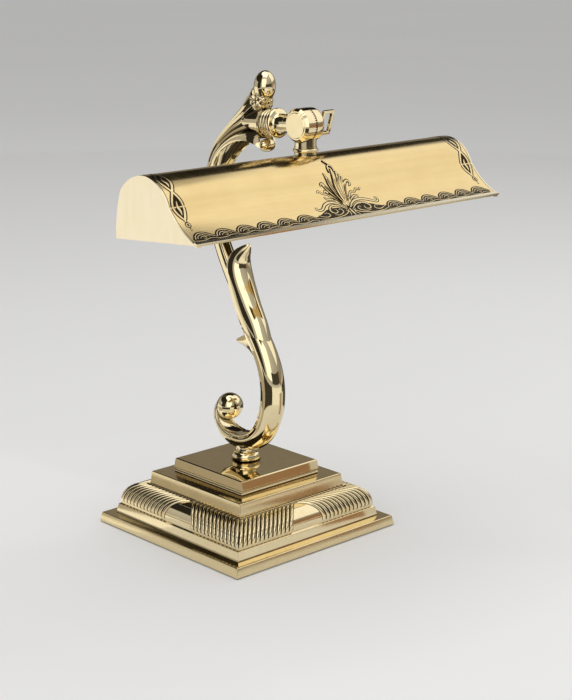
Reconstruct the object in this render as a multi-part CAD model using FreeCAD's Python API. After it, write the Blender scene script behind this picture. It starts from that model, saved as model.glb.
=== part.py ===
"""Brass piano lamp: a square stepped base, a cast scroll stem with an acanthus head,
a clamped knuckle and a trough shade that tilts on it.

Frame: millimetres, +Z up, origin at the centre of the underside of the felt pad.
X runs along the shade, -Y is the side that the shade's lip faces.
Heights above the base are built up from the pieces below, so each piece sits on the last.
"""
import FreeCAD, Part
import math
import os

V = FreeCAD.Vector
X_AXIS, Y_AXIS, Z_AXIS = V(1, 0, 0), V(0, 1, 0), V(0, 0, 1)
ORIGIN = V(0, 0, 0)

# ---------------------------------------------------------------- driving dimensions
# Base, from the pad upwards. A tier is given by its half widths at foot and head.
PAD_THICKNESS = 1.6
PAD_DROP = 0.8              # how far the pad stands below the plinth
PLINTH_HALF = 95.0
PLINTH_HEIGHT = 8.6
PLINTH_BATTER = 1.6         # a tier's side leans in by this much
PLINTH_RING = 17.0          # width of the ring that the plinth is cast as
PLINTH_LEDGE = 10.9         # from the plinth's edge in to the moulding's
COVER_THICKNESS = 1.5
COVER_INSET = 6.5           # from the plinth's outer edge to the cover's edge
COVER_CLEARANCE = 0.3
MOULDING_HALF = PLINTH_HALF - PLINTH_LEDGE
BAND_HEIGHT = 8.3
BAND_BATTER = 1.5
OVOLO_FOOT_HALF = MOULDING_HALF - 3.2
OVOLO_HEAD_HALF = OVOLO_FOOT_HALF - 16.2
OVOLO_FOOT = 11.1           # above the plinth
OVOLO_HEIGHT = 15.8
OVOLO_BULGE = 5.2           # of the ovolo's curve beyond its chord
FILLET_HALF = OVOLO_HEAD_HALF - 1.7     # the plain fillet on top of the ovolo
FILLET_HEIGHT = 1.2
MOULDING_WALL = 3.5
BLOCK_HALF = FILLET_HALF - 1.2
BLOCK_HEIGHT = 11.8
BLOCK_BATTER = 1.3
BLOCK_WALL = 3.0
PLATE_HALF = BLOCK_HALF - 15.5
PLATE_HEIGHT = 12.7
PLATE_BATTER = 1.1
PLATE_LIP = 2.6             # height of the small moulding round the plate's foot
PLATE_WALL = 3.5
EDGE_ROUND = 0.8            # rounding of the tiers' top edges

# What the base holds
BALLAST_HALF = BLOCK_HALF - 9.8
BALLAST_HEIGHT = 14.0
TIE_RADIUS = 5.0            # hollow threaded tie tube
TIE_BORE = 3.6
TIE_NUT_HEIGHT = 5.0
TIE_GRIP = 4.0              # length of the tie tube inside the stem
TIE_NUT_RADIUS = 9.0
TIE_WASHER_RADIUS = 13.0
TIE_WASHER_THICKNESS = 2.0
SCREW_RADIUS = 1.5          # M3 screws in the base and shade
INLET_HEIGHT = 4.4          # of the inlet's axis above the foot of the moulding
INLET_RADIUS = 3.3
INLET_BORE = 2.6
INLET_FLANGE_RADIUS = 4.0
INLET_FLANGE_THICKNESS = 1.4
INLET_NUT_RADIUS = 4.3
INLET_NUT_THICKNESS = 2.0
TERMINAL_SIZE = (22.0, 10.0, 9.0)
TERMINAL_Y = 30.0
CLAMP_BAR_SIZE = (20.0, 7.0, 2.5)
CLAMP_BAR_Y = 58.0
EARTH_X = -24.0

# Collar between plate and stem
COLLAR_HEIGHT = 9.2
COLLAR_RADIUS = 13.2
COLLAR_NECK = 9.4

# Stem: mid points of its section as (y, height above the collar, half width, thickness).
# The lower scroll is flat on its +Y side and the upper strand on its -Y side; each ends
# inside the other, narrowed. All the heights stretch with the stem's length.
LOWER_STATIONS = (
    (32.0, 41.5, 3.6, 3.4),
    (36.0, 30.0, 6.4, 6.8),
    (29.5, 15.0, 8.6, 11.0),
    (14.0, 7.6, 9.8, 14.0),
    (-4.5, 8.0, 10.5, 15.6),
    (-21.0, 15.8, 11.0, 16.0),
    (-33.0, 32.0, 11.0, 16.0),
    (-38.8, 57.0, 11.0, 15.6),
    (-35.0, 82.0, 11.0, 15.0),
    (-23.0, 104.0, 10.6, 15.0),
    (-8.0, 124.0, 9.8, 14.0),
    (7.0, 144.0, 5.4, 8.8),
)
UPPER_STATIONS = (
    (-8.0, 124.0, 9.0, 13.2),
    (7.0, 144.0, 8.6, 13.2),
    (21.5, 165.0, 7.4, 13.0),
    (33.5, 188.0, 6.6, 13.0),
    (39.5, 214.0, 6.9, 13.2),
    (40.5, 242.0, 9.2, 13.4),
)
STEM_LENGTH = 240.0         # above the collar, where the head is joined on
STEM_TRIM = 2.0             # of the last station above the stem's end
STEM_SIDE = 0.30            # share of the thickness that is a straight side
STEM_FOOT_RADIUS = 9.4
BALL_RADIUS = 12.0
BALL_CENTRE = (21.5, 36.0)  # y, height above the collar

# Front leaf: rim (y, height), spine (y, height), half width
LEAF_STATIONS = (
    (-28.0, 90.0, -34.0, 97.0, 7.5),
    (-21.0, 100.0, -30.0, 108.0, 9.5),
    (-13.5, 111.0, -25.5, 119.5, 11.0),
    (-3.5, 126.0, -18.0, 132.7, 12.0),
    (4.5, 143.0, -11.0, 146.3, 12.6),
    (9.5, 160.0, -4.6, 160.6, 12.8),
    (10.0, 174.0, -2.2, 173.0, 11.2),
    (3.0, 184.0, -5.2, 181.0, 7.0),
    (-4.0, 188.0, -7.0, 186.0, 2.6),
)
LEAF_WALL = 3.2
# Spur on the inside of the scroll, in the same order
SPUR_STATIONS = (
    (-32.0, 86.0, -33.5, 62.0, 9.2),
    (-18.0, 102.0, -20.8, 82.0, 8.4),
    (-9.5, 107.5, -10.5, 91.0, 6.8),
    (-1.0, 105.5, -1.5, 95.6, 5.2),
    (8.0, 100.8, 7.0, 97.2, 3.6),
)
SPUR_WALL = 2.4

# Acanthus head: rim and spine as (y, height above the stem's top), half width
HEAD_STATIONS = (
    (33.9, -8.0, 47.3, -8.0, 8.8),
    (32.4, 8.8, 45.7, 8.8, 11.0),
    (27.3, 15.2, 42.7, 15.2, 12.5),
    (22.2, 21.7, 39.9, 22.3, 13.5),
    (16.0, 28.1, 35.0, 31.5, 14.0),
    (7.9, 33.6, 27.5, 41.5, 14.3),
    (-1.0, 37.9, 17.9, 51.1, 14.4),
    (-10.4, 40.2, 8.0, 60.7, 14.2),
    (-19.3, 40.3, -1.5, 69.9, 13.6),
    (-25.9, 38.2, -8.4, 79.2, 12.0),
    (-30.5, 35.3, -17.0, 88.4, 9.5),
)
HEAD_WALL = 2.8
# Points that the lead passes inside the head, close under the hood's spine
HEAD_LEAD = ((36.9, 12.7), (29.7, 28.1), (20.0, 40.5), (11.0, 49.0))
CONDUIT_RADIUS = 4.3        # of the cast tube round the lead inside the hood
CALYX_CENTRE = (-21.5, 72.0)
CALYX_RADIUS = 9.4
CALYX_HALF_LENGTH = 12.0
BUD_CENTRE = (-26.5, 86.0)
BUD_RADIUS = 9.4
BUD_HALF_LENGTH = 13.6
CURL_CENTRE = (-29.5, 37.0)
CURL_RADIUS = 5.6
CURL_HALF_LENGTH = 10.6
CURL_SEAT_GAP = 0.1         # solder between the curl and the hood

# Knuckle. Its drum turns about X through this point.
KNUCKLE_HEIGHT = 58.5       # above the stem's top
ARM_RISE = 3.0              # degrees that the arm climbs towards the knuckle
DRUM_RADIUS = 14.0
DRUM_LEFT = 11.5            # length of the arm's half, towards -X
DRUM_RIGHT = 10.0           # length of the shade's half, towards +X
DRUM_CHAMFER = 2.2
DRUM_ROUND = 4.0
DRUM_CAVITY_RADIUS = 10.4
DRUM_CAVITY_DEPTH = 6.0
DRUM_HUB_RADIUS = 4.6
CROSS_CLEARANCE = 0.35      # between one half's neck and the other half's drum
ARM_NECK_RADIUS = 7.8
ARM_LENGTH = 50.0           # from the knuckle's axis back to the head
ARM_SEAT_Y = -26.5          # where the arm's base sits in the head
HEAD_LEAD_RUN = 32.0        # length of the lead, past the arm's base, that lies along its axis
ARM_LEAD_BENDS = (24.0, 14.0, 7.4)      # distances from the knuckle's axis
BOSS_CORE_LENGTH = 25.0     # solid end of the arm inside the hood
BOSS_CORE_PARALLEL = 12.0
ARM_RING_RADIUS = 12.7
ARM_BEAD_RADIUS = 11.4
ARM_GROOVE_RADIUS = 9.4
ARM_BASE_RADIUS = 12.0
LEAD_RADIUS = 1.8
LEAD_BORE = 2.6
CLAMP_RADIUS = 3.0
CLAMP_FIT = 0.05            # radial clearance of the shade's half on the clamp screw
CLAMP_HEAD_RADIUS = 5.5
CLAMP_HEAD_HEIGHT = 2.5
CAP_RADIUS = 10.6
CAP_THICKNESS = 1.2
FRICTION_WASHER_THICKNESS = 0.8
WASHER_PLAY = 0.05          # axial play of parts that turn on the clamp screw
KEY_HUB_RADIUS = 4.2
KEY_HUB_LENGTH = 6.5
KEY_LOOP_WIDTH = 12.5
KEY_LOOP_HEIGHT = 21.5
KEY_BAR = 2.6
KEY_DEPTH = 3.0
KEY_TURN = 17.0            # degrees that the key stands turned from upright
SPRING_WASHER_THICKNESS = 1.0

# Post under the knuckle
POST_SEAT_SPAN = 60.0       # length of shade that the post and its washer are fitted to
POST_RADIUS = 9.3
POST_FLANGE_RADIUS = 10.6
POST_FLANGE_HEIGHT = 3.0
POST_FOOT_HEIGHT = 1.8
POST_LENGTH = 24.0          # from the knuckle's axis down to the shade's top

# Shade: outside profile as (y, z) from the post's axis at the shade's top
SHADE_LENGTH = 345.0
SHADE_WALL = 1.0
SHADE_BACK_FOOT = (32.8, -53.0)
SHADE_BACK_BOW = (30.9, -32.0)
SHADE_SHOULDER = (26.1, -14.4)
SHADE_CROWN_BACK = (13.5, -4.0)
SHADE_CREST = (-3.0, 0.0)
SHADE_CROWN_FRONT = (-18.8, -4.8)
SHADE_WAIST = (-32.3, -21.0)        # where the front turns from convex to hollow
SHADE_HOLLOW = (-45.5, -34.4)
SHADE_LIP = (-64.3, -45.3)
LIP_WIDTH = 3.0
LIP_THICKNESS = 1.4
LIP_SEAT_GAP = 0.1          # solder under the lip's moulding
CAP_LIP = 5.0               # flange of an end cap inside the shell
END_CAP_WALL = 1.0

# Lampholders and lamps in the shade
BRACKET_WIDTH = 16.0
BRACKET_THICKNESS = 1.5
BRACKET_LENGTH = 62.0
BRACKET_DROP = 3.6          # from the shade's top to the bracket's top plate
SADDLE_RADIUS = 7.5
LAMP_AXIS = (-2.0, -27.0)   # (y, z) of the lamps from the shade's top
HOLDER_RADIUS = 11.0
HOLDER_LENGTH = 30.0
HOLDER_BORE = 7.4
HOLDER_SPIGOT_RADIUS = 5.0
HOLDER_SPIGOT_LENGTH = 7.0
HOLDER_NUT_RADIUS = 7.5
HOLDER_NUT_THICKNESS = 3.0
LAMP_RADIUS = 12.5
LAMP_LENGTH = 84.0
LAMP_CAP_RADIUS = 7.0
LAMP_CAP_LENGTH = 19.0
LAMP_GLASS_WALL = 0.8
LAMP_SHOULDER = 7.0         # length over which the glass widens from its neck
LAMP_LEAD_RADIUS = 1.1
SPLICE_RADIUS = 3.6
SPLICE_LENGTH = 6.0
FILAMENT_LENGTH = 46.0
FILAMENT_RADIUS = 0.6
NIPPLE_RADIUS = 5.0
NIPPLE_BORE = 3.4
NIPPLE_GRIP = 9.0           # length screwed up into the post
NIPPLE_NUT_RADIUS = 8.0
NIPPLE_NUT_HEIGHT = 3.0

# ---------------------------------------------------------------- heights that follow
PLINTH_FOOT = PAD_DROP
PLINTH_HEAD = PLINTH_FOOT + PLINTH_HEIGHT
OVOLO_HEAD = PLINTH_HEAD + OVOLO_FOOT + OVOLO_HEIGHT
MOULDING_HEAD = OVOLO_HEAD + FILLET_HEIGHT
BLOCK_HEAD = MOULDING_HEAD + BLOCK_HEIGHT
PLATE_HEAD = BLOCK_HEAD + PLATE_HEIGHT
STEM_FOOT = PLATE_HEAD + COLLAR_HEIGHT
STEM_TOP = STEM_FOOT + STEM_LENGTH
KNUCKLE = V(0, ARM_SEAT_Y - ARM_LENGTH, STEM_TOP + KNUCKLE_HEIGHT)
ARM_TURN = math.radians(ARM_RISE)
ARM_AXIS = V(0, math.cos(ARM_TURN), -math.sin(ARM_TURN))     # from the knuckle to the head
SHADE_TOP = KNUCKLE - V(0, 0, POST_LENGTH)
COVER_SEAT = PLINTH_FOOT + COVER_THICKNESS + PAD_THICKNESS - PAD_DROP


# ---------------------------------------------------------------- shape helpers
def edges_through(points):
    """Edges along points. A plain point ends a line, a pair of points (middle, end) an arc."""
    edges, last = [], points[0]
    for item in points[1:]:
        if isinstance(item, tuple):
            edges.append(Part.Arc(last, item[0], item[1]).toShape())
            last = item[1]
        else:
            edges.append(Part.LineSegment(last, item).toShape())
            last = item
    if last.distanceToPoint(points[0]) > 1e-6:
        edges.append(Part.LineSegment(last, points[0]).toShape())
    return edges


def in_plane(place, items):
    """Put (a, b) pairs, and ((a, b), (a, b)) arcs, into space with the function place."""
    return [tuple(place(*p) for p in item) if isinstance(item[0], tuple) else place(*item)
            for item in items]


def face(points):
    return Part.Face(Part.Wire(edges_through(points)))


def turned(outline, foot=ORIGIN, axis=Z_AXIS):
    """A turned piece: the closed outline gives (radius, distance along the axis)."""
    side = axis.cross(X_AXIS)
    if side.Length < 0.1:
        side = Y_AXIS
    side.normalize()
    points = in_plane(lambda r, h: foot + side * r + axis * h, outline)
    return face(points).revolve(foot, axis, 360)


def ring(outer, inner, height, foot=ORIGIN, axis=Z_AXIS):
    body = Part.makeCylinder(outer, height, foot, axis)
    return body.cut(Part.makeCylinder(inner, height, foot, axis)) if inner else body


def square_tier(outline):
    """A square piece whose four sides have the outline (half width, height), foot to head."""
    def slab(place, along):
        right = in_plane(place, outline)
        mirrored = [(tuple((-a, b) for a, b in item) if isinstance(item[0], tuple) else
                     (-item[0], item[1])) for item in outline]
        back = []
        for index in range(len(outline) - 1, -1, -1):
            end = mirrored[index][1] if isinstance(mirrored[index][0], tuple) else mirrored[index]
            after = mirrored[index + 1] if index + 1 < len(outline) else None
            if after is not None and isinstance(after[0], tuple):
                back.append((place(*after[0]), place(*end)))
            else:
                back.append(place(*end))
        reach = 2 * PLINTH_HALF
        return face(right + back).extrude(along * (2 * reach)).translated(along * -reach)
    return slab(lambda a, b: V(a, 0, b), Y_AXIS).common(slab(lambda a, b: V(0, a, b), X_AXIS))


def smooth(points):
    curve = Part.BSplineCurve()
    curve.interpolate(points)
    return curve


def tube(route, radius):
    """A round tube along runs joined by tangent arcs, as large as the runs allow."""
    edges, start = [], route[0]
    for before, corner, after in zip(route, route[1:], route[2:]):
        into, out = corner - before, after - corner
        half_turn = into.getAngle(out) / 2
        if half_turn < 0.01:
            continue
        cut = 0.45 * min(into.Length, out.Length)
        into.normalize()
        out.normalize()
        first, last = corner - into * cut, corner + out * cut
        inside = (out - into).normalize()
        radius_here = cut / math.tan(half_turn)
        middle = corner + inside * (radius_here / math.cos(half_turn) - radius_here)
        edges.append(Part.LineSegment(start, first).toShape())
        edges.append(Part.Arc(first, middle, last).toShape())
        start = last
    edges.append(Part.LineSegment(start, route[-1]).toShape())
    path = Part.Wire(edges)
    disc = Part.Wire(Part.Circle(route[0], route[1] - route[0], radius).toShape())
    return path.makePipeShell([disc], True, False)


def stem_point(y, height):
    stretch = STEM_LENGTH / (UPPER_STATIONS[-1][1] - STEM_TRIM)
    return V(0, y, STEM_FOOT + height * stretch)


def head_point(y, height):
    return V(0, y, STEM_TOP + height)


# ---------------------------------------------------------------- base
def top_of(half, foot, height, batter):
    """The rounded head of a battered tier, as outline points from its foot."""
    head = foot + height
    return [(half, foot), (half - batter + 0.1, head - EDGE_ROUND),
            ((half - batter - 0.3 * EDGE_ROUND, head - 0.3 * EDGE_ROUND),
             (half - batter - EDGE_ROUND, head))]


def base_plinth():
    opening = 2 * (PLINTH_HALF - PLINTH_RING)
    body = square_tier(top_of(PLINTH_HALF, PLINTH_FOOT, PLINTH_HEIGHT, PLINTH_BATTER))
    body = body.cut(box_at(opening, opening, PLINTH_FOOT, PLINTH_HEIGHT))
    seat = 2 * (PLINTH_HALF - COVER_INSET)
    body = body.cut(box_at(seat, seat, PLINTH_FOOT, COVER_SEAT - PLINTH_FOOT))
    return drilled(body, cover_screw_places(), SCREW_RADIUS, COVER_SEAT, 5.0)


def box_at(width, depth, foot, height, x=0.0, y=0.0):
    return Part.makeBox(width, depth, height, V(x - width / 2, y - depth / 2, foot))


def cover_screw_places():
    half = PLINTH_HALF - (PLINTH_RING + COVER_INSET) / 2
    return [(x * half, y * half) for x in (-1, 1) for y in (-1, 1)]


def drilled(body, places, radius, foot, depth):
    for x, y in places:
        body = body.cut(Part.makeCylinder(radius, depth, V(x, y, foot)))
    return body


def ovolo_outline():
    """The moulding's outline: flat band, quirk, ovolo and fillet."""
    band_head = PLINTH_HEAD + BAND_HEIGHT
    ovolo_foot = PLINTH_HEAD + OVOLO_FOOT
    rise, run = OVOLO_HEAD - ovolo_foot, OVOLO_FOOT_HALF - OVOLO_HEAD_HALF
    chord = math.hypot(rise, run)
    middle = ((OVOLO_FOOT_HALF + OVOLO_HEAD_HALF) / 2 + OVOLO_BULGE * rise / chord,
              (ovolo_foot + OVOLO_HEAD) / 2 + OVOLO_BULGE * run / chord)
    return [(MOULDING_HALF, PLINTH_HEAD), (MOULDING_HALF - BAND_BATTER, band_head),
            (OVOLO_FOOT_HALF, band_head + 0.8), (OVOLO_FOOT_HALF, ovolo_foot),
            (middle, (OVOLO_HEAD_HALF, OVOLO_HEAD)),
            (FILLET_HALF, OVOLO_HEAD), (FILLET_HALF, MOULDING_HEAD)]


def base_moulding():
    body = square_tier(ovolo_outline())
    inside = MOULDING_HALF - MOULDING_WALL - BAND_BATTER
    head = MOULDING_HEAD - MOULDING_WALL
    body = body.cut(square_tier([(inside, PLINTH_HEAD), (inside, PLINTH_HEAD + OVOLO_FOOT - 2),
                                 (OVOLO_HEAD_HALF - MOULDING_WALL, head - 2),
                                 (OVOLO_HEAD_HALF - MOULDING_WALL - 2, head)]))
    body = drilled(body, [(0, 0)], TIE_RADIUS, head, MOULDING_WALL)
    hole = Part.makeCylinder(INLET_RADIUS, 12, inlet_seat() - V(0, 8, 0), Y_AXIS)
    spot = Part.makeCylinder(INLET_FLANGE_RADIUS, 6, inlet_seat(), Y_AXIS)
    return body.cut(hole).cut(spot)


def inlet_seat():
    """Centre of the flat, at the back of the band, that the inlet's flange seats on."""
    return V(0, MOULDING_HALF - BAND_BATTER, PLINTH_HEAD + INLET_HEIGHT)


def inlet_bush():
    inner = MOULDING_HALF - MOULDING_WALL - BAND_BATTER - INLET_NUT_THICKNESS
    seat = inlet_seat()
    body = ring(INLET_RADIUS, 0, seat.y - inner, V(0, inner, seat.z), Y_AXIS)
    body = body.fuse(ring(INLET_FLANGE_RADIUS, 0, INLET_FLANGE_THICKNESS, seat, Y_AXIS))
    length = seat.y + INLET_FLANGE_THICKNESS - inner
    return body.cut(Part.makeCylinder(INLET_BORE, length, V(0, inner, seat.z), Y_AXIS))


def inlet_nut():
    inner = MOULDING_HALF - MOULDING_WALL - BAND_BATTER
    foot = V(0, inner - INLET_NUT_THICKNESS, inlet_seat().z)
    return ring(INLET_NUT_RADIUS, INLET_RADIUS, INLET_NUT_THICKNESS, foot, Y_AXIS)


def base_step_block():
    body = square_tier(top_of(BLOCK_HALF, MOULDING_HEAD, BLOCK_HEIGHT, BLOCK_BATTER))
    inside = BLOCK_HALF - BLOCK_BATTER - BLOCK_WALL
    body = body.cut(box_at(2 * inside, 2 * inside, MOULDING_HEAD, BLOCK_HEIGHT - BLOCK_WALL))
    return drilled(body, [(0, 0)], TIE_RADIUS, BLOCK_HEAD - BLOCK_WALL, BLOCK_WALL)


def base_top_plate():
    lip = BLOCK_HEAD + PLATE_LIP
    neck = PLATE_HALF - 1.3
    body = square_tier([(PLATE_HALF - 1.0, BLOCK_HEAD),
                        ((PLATE_HALF, BLOCK_HEAD + 1.0), (PLATE_HALF - 1.0, lip - 0.6)),
                        (neck, lip), (neck, lip + 1.2), (PLATE_HALF, lip + 1.8),
                        (PLATE_HALF - PLATE_BATTER + 0.1, PLATE_HEAD - EDGE_ROUND),
                        (PLATE_HALF - PLATE_BATTER - EDGE_ROUND, PLATE_HEAD)])
    inside = neck - PLATE_WALL
    body = body.cut(box_at(2 * inside, 2 * inside, BLOCK_HEAD, PLATE_HEIGHT - PLATE_WALL))
    return drilled(body, [(0, 0)], TIE_RADIUS, PLATE_HEAD - PLATE_WALL, PLATE_WALL)


def ballast_head():
    return MOULDING_HEAD - MOULDING_WALL


def ballast_block():
    foot = ballast_head() - BALLAST_HEIGHT
    body = box_at(2 * BALLAST_HALF, 2 * BALLAST_HALF, foot, BALLAST_HEIGHT)
    body = body.makeChamfer(4.0, [e for e in body.Edges if abs(e.tangentAt(0).z) > 0.9])
    return drilled(body, [(0, 0)], TIE_RADIUS, foot, BALLAST_HEIGHT)


def tie_washer():
    foot = ballast_head() - BALLAST_HEIGHT - TIE_WASHER_THICKNESS
    return ring(TIE_WASHER_RADIUS, TIE_RADIUS, TIE_WASHER_THICKNESS, V(0, 0, foot))


def tie_nut_foot():
    return ballast_head() - BALLAST_HEIGHT - TIE_WASHER_THICKNESS - TIE_NUT_HEIGHT


def tie_nut():
    corners = [V(TIE_NUT_RADIUS * math.cos(math.radians(60 * k)),
                 TIE_NUT_RADIUS * math.sin(math.radians(60 * k)), tie_nut_foot())
               for k in range(6)]
    body = face(corners).extrude(V(0, 0, TIE_NUT_HEIGHT))
    return drilled(body, [(0, 0)], TIE_RADIUS, tie_nut_foot(), TIE_NUT_HEIGHT)


def tie_tube():
    """Hollow threaded tube that pulls the tiers, collar and stem together."""
    foot = tie_nut_foot() - 0.5
    return ring(TIE_RADIUS, TIE_BORE, STEM_FOOT + TIE_GRIP - foot, V(0, 0, foot))


def bottom_cover():
    width = 2 * (PLINTH_HALF - COVER_INSET - COVER_CLEARANCE)
    body = box_at(width, width, COVER_SEAT - COVER_THICKNESS, COVER_THICKNESS)
    for x, y in cover_screw_places():
        body = body.cut(countersink(x, y))
    return body


def countersink(x, y, length=COVER_THICKNESS):
    """A countersunk head and shank, from the cover's underside up."""
    foot = V(x, y, COVER_SEAT - COVER_THICKNESS)
    head = Part.makeCone(2 * SCREW_RADIUS, SCREW_RADIUS, COVER_THICKNESS, foot)
    if length <= COVER_THICKNESS:
        return head
    return head.fuse(Part.makeCylinder(SCREW_RADIUS, length, foot))


def cover_screws():
    return Part.makeCompound([countersink(x, y, COVER_THICKNESS + 5.0)
                              for x, y in cover_screw_places()])


def felt_pad():
    width = 2 * (PLINTH_HALF - COVER_INSET - 2 * COVER_CLEARANCE)
    return box_at(width, width, 0, PAD_THICKNESS)


def terminal_block():
    width, depth, height = TERMINAL_SIZE
    body = box_at(width, depth, COVER_SEAT, height, 0, TERMINAL_Y)
    for x in (-width / 4, width / 4):
        body = body.cut(Part.makeCylinder(1.8, height / 2, V(x, TERMINAL_Y, COVER_SEAT + height / 2)))
    return body


def terminal_screws():
    width, _, height = TERMINAL_SIZE
    foot = COVER_SEAT + height / 2
    return Part.makeCompound([Part.makeCylinder(1.8, height / 2 - 1, V(x, TERMINAL_Y, foot))
                              for x in (-width / 4, width / 4)])


def cord_clamp():
    """A saddle that grips the supply cord on the cover, with a groove for the cord."""
    width, depth, height = CLAMP_BAR_SIZE
    saddle = 6.5
    body = box_at(width, depth, COVER_SEAT, saddle, 0, CLAMP_BAR_Y)
    groove = Part.makeCylinder(INLET_BORE, depth, V(0, CLAMP_BAR_Y - depth / 2, COVER_SEAT + 2), Y_AXIS)
    lower = box_at(2 * INLET_BORE, depth, COVER_SEAT, 2, 0, CLAMP_BAR_Y)
    wing = (width - 2 * INLET_BORE) / 2
    body = body.cut(groove).cut(lower)
    for side in (-1, 1):
        x = side * (width - wing / 2) / 2
        trim = box_at(wing / 2, depth, COVER_SEAT + height, saddle, x, CLAMP_BAR_Y)
        body = body.cut(trim)
    return body


def cord_clamp_screws():
    width, _, height = CLAMP_BAR_SIZE
    wing = (width - 2 * INLET_BORE) / 2
    places = [side * (width - wing / 2) / 2 for side in (-1, 1)]
    return Part.makeCompound([ring(1.5, 0, 1.6, V(x, CLAMP_BAR_Y, COVER_SEAT + height))
                              for x in places])


def earth_terminal():
    foot = V(EARTH_X, TERMINAL_Y, COVER_SEAT)
    body = ring(4.5, 0, 1.0, foot).fuse(ring(2.0, 0, 7.0, foot))
    return body.fuse(ring(3.6, 0, 2.4, foot + V(0, 0, 1.0)))


# ---------------------------------------------------------------- collar and stem
def stem_collar():
    foot, head = PLATE_HEAD, STEM_FOOT
    bead = foot + 0.48 * COLLAR_HEIGHT
    body = turned([(0, foot), (COLLAR_RADIUS - 2.0, foot),
                   ((COLLAR_RADIUS, bead), (COLLAR_RADIUS - 2.4, foot + 0.86 * COLLAR_HEIGHT)),
                   (COLLAR_NECK, foot + 0.9 * COLLAR_HEIGHT), (COLLAR_NECK, head), (0, head)])
    return drilled(body, [(0, 0)], TIE_RADIUS, foot, COLLAR_HEIGHT)


def bow(middle, across, out, count=8):
    """Half an ellipse from middle + across, over middle + out, to middle - across."""
    return [middle + across * math.cos(math.pi * k / count) + out * math.sin(math.pi * k / count)
            for k in range(count + 1)]


def section(points, bowed):
    """A closed section: straight edges along points, then one smooth edge along bowed."""
    edges = [Part.LineSegment(a, b).toShape() for a, b in zip(points, points[1:])]
    return Part.Wire(edges + [smooth(bowed).toShape()])


def strand(stations, facing):
    """Flat on one side, then straight sides, then half-round; facing 1 has the flat at +Y."""
    line = smooth([stem_point(y, h) for y, h, _, _ in stations])
    wires = []
    for y, height, half_width, thickness in stations:
        middle, across = stem_point(y, height), X_AXIS * half_width
        tangent = line.tangent(line.parameter(middle))[0]
        out = V(0, -tangent.z, tangent.y) * facing
        inside = middle - out * (thickness / 2)
        side = inside + out * (thickness * STEM_SIDE)
        points = [side - across, inside - across, inside + across, side + across]
        wires.append(section(points, bow(side, across, out * (thickness * (1 - STEM_SIDE)))))
    return Part.makeLoft(wires, True, False)


def hood_section(rim, spine, half_width, wall):
    """A crescent open from spine to rim: outer bow, two rims and inner bow."""
    across, out = X_AXIS * half_width, spine - rim
    thin = 1 - wall / out.Length
    outer = bow(rim, across, out)
    inner = bow(rim, across * -(1 - wall / (1.6 * half_width)), out * thin)
    edges = [smooth(outer).toShape(), Part.LineSegment(outer[-1], inner[0]).toShape(),
             smooth(inner).toShape(), Part.LineSegment(inner[-1], outer[0]).toShape()]
    return Part.Wire(edges)


def hollow_leaf(place, stations, wall):
    """A leaf of crescent sections; place turns a station's (y, height) into a point."""
    wires = [hood_section(place(*row[0:2]), place(*row[2:4]), row[4], wall) for row in stations]
    return Part.makeLoft(wires, True, False)


def arm_point(distance, x=0.0):
    return KNUCKLE + ARM_AXIS * distance + V(x, 0, 0)


def lead_route():
    """Route of the lead from the terminal block, up the stem and along the arm."""
    level = COVER_SEAT + 2.9
    drum_x = -(DRUM_CAVITY_DEPTH + FRICTION_WASHER_THICKNESS) / 2
    stem = [stem_point(y, h) for y, h, _, _ in LOWER_STATIONS[5:-1] + UPPER_STATIONS[1:]]
    head = [head_point(y, h) for y, h in HEAD_LEAD]
    far, near, end = ARM_LEAD_BENDS
    arm = [arm_point(ARM_LENGTH + HEAD_LEAD_RUN), arm_point(far),
           arm_point(near, drum_x), arm_point(end, drum_x)]
    return [V(0, TERMINAL_Y - TERMINAL_SIZE[1] / 2, level), V(0, 0, level),
            stem_point(0, 9)] + stem + head + arm


def scroll_stem():
    foot = Part.makeCylinder(STEM_FOOT_RADIUS, 10, V(0, 0, STEM_FOOT))
    leaf = hollow_leaf(stem_point, LEAF_STATIONS, LEAF_WALL)
    spur = hollow_leaf(stem_point, SPUR_STATIONS, SPUR_WALL)
    lower, upper = strand(LOWER_STATIONS, 1), strand(UPPER_STATIONS, -1)
    body = lower.fuse([upper, foot, leaf, spur])
    ball = Part.makeSphere(BALL_RADIUS, stem_point(*BALL_CENTRE))
    body = body.cut(ball)
    body = body.cut(Part.makeCylinder(TIE_RADIUS, TIE_GRIP, V(0, 0, STEM_FOOT)))
    body = body.common(box_at(2 * PLINTH_HALF, 2 * PLINTH_HALF, STEM_FOOT, STEM_LENGTH))
    return body.cut(tube(lead_route()[1:], LEAD_BORE))


def scroll_ball():
    return Part.makeSphere(BALL_RADIUS, stem_point(*BALL_CENTRE))


# ---------------------------------------------------------------- head and arm
def head_fill(rows):
    """A solid that fills the hood between stations, from the middle of its wall inwards."""
    wires, inset = [], HEAD_WALL / 2
    for rim_y, rim_height, spine_y, spine_height, half_width in rows:
        rim, spine = head_point(rim_y, rim_height), head_point(spine_y, spine_height)
        out = spine - rim
        inward = V(out).normalize() * inset
        bowed = bow(rim + inward, X_AXIS * (half_width - inset), out - inward * 2)
        wires.append(section([bowed[-1], bowed[0]], bowed))
    return Part.makeLoft(wires, True, False)


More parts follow.
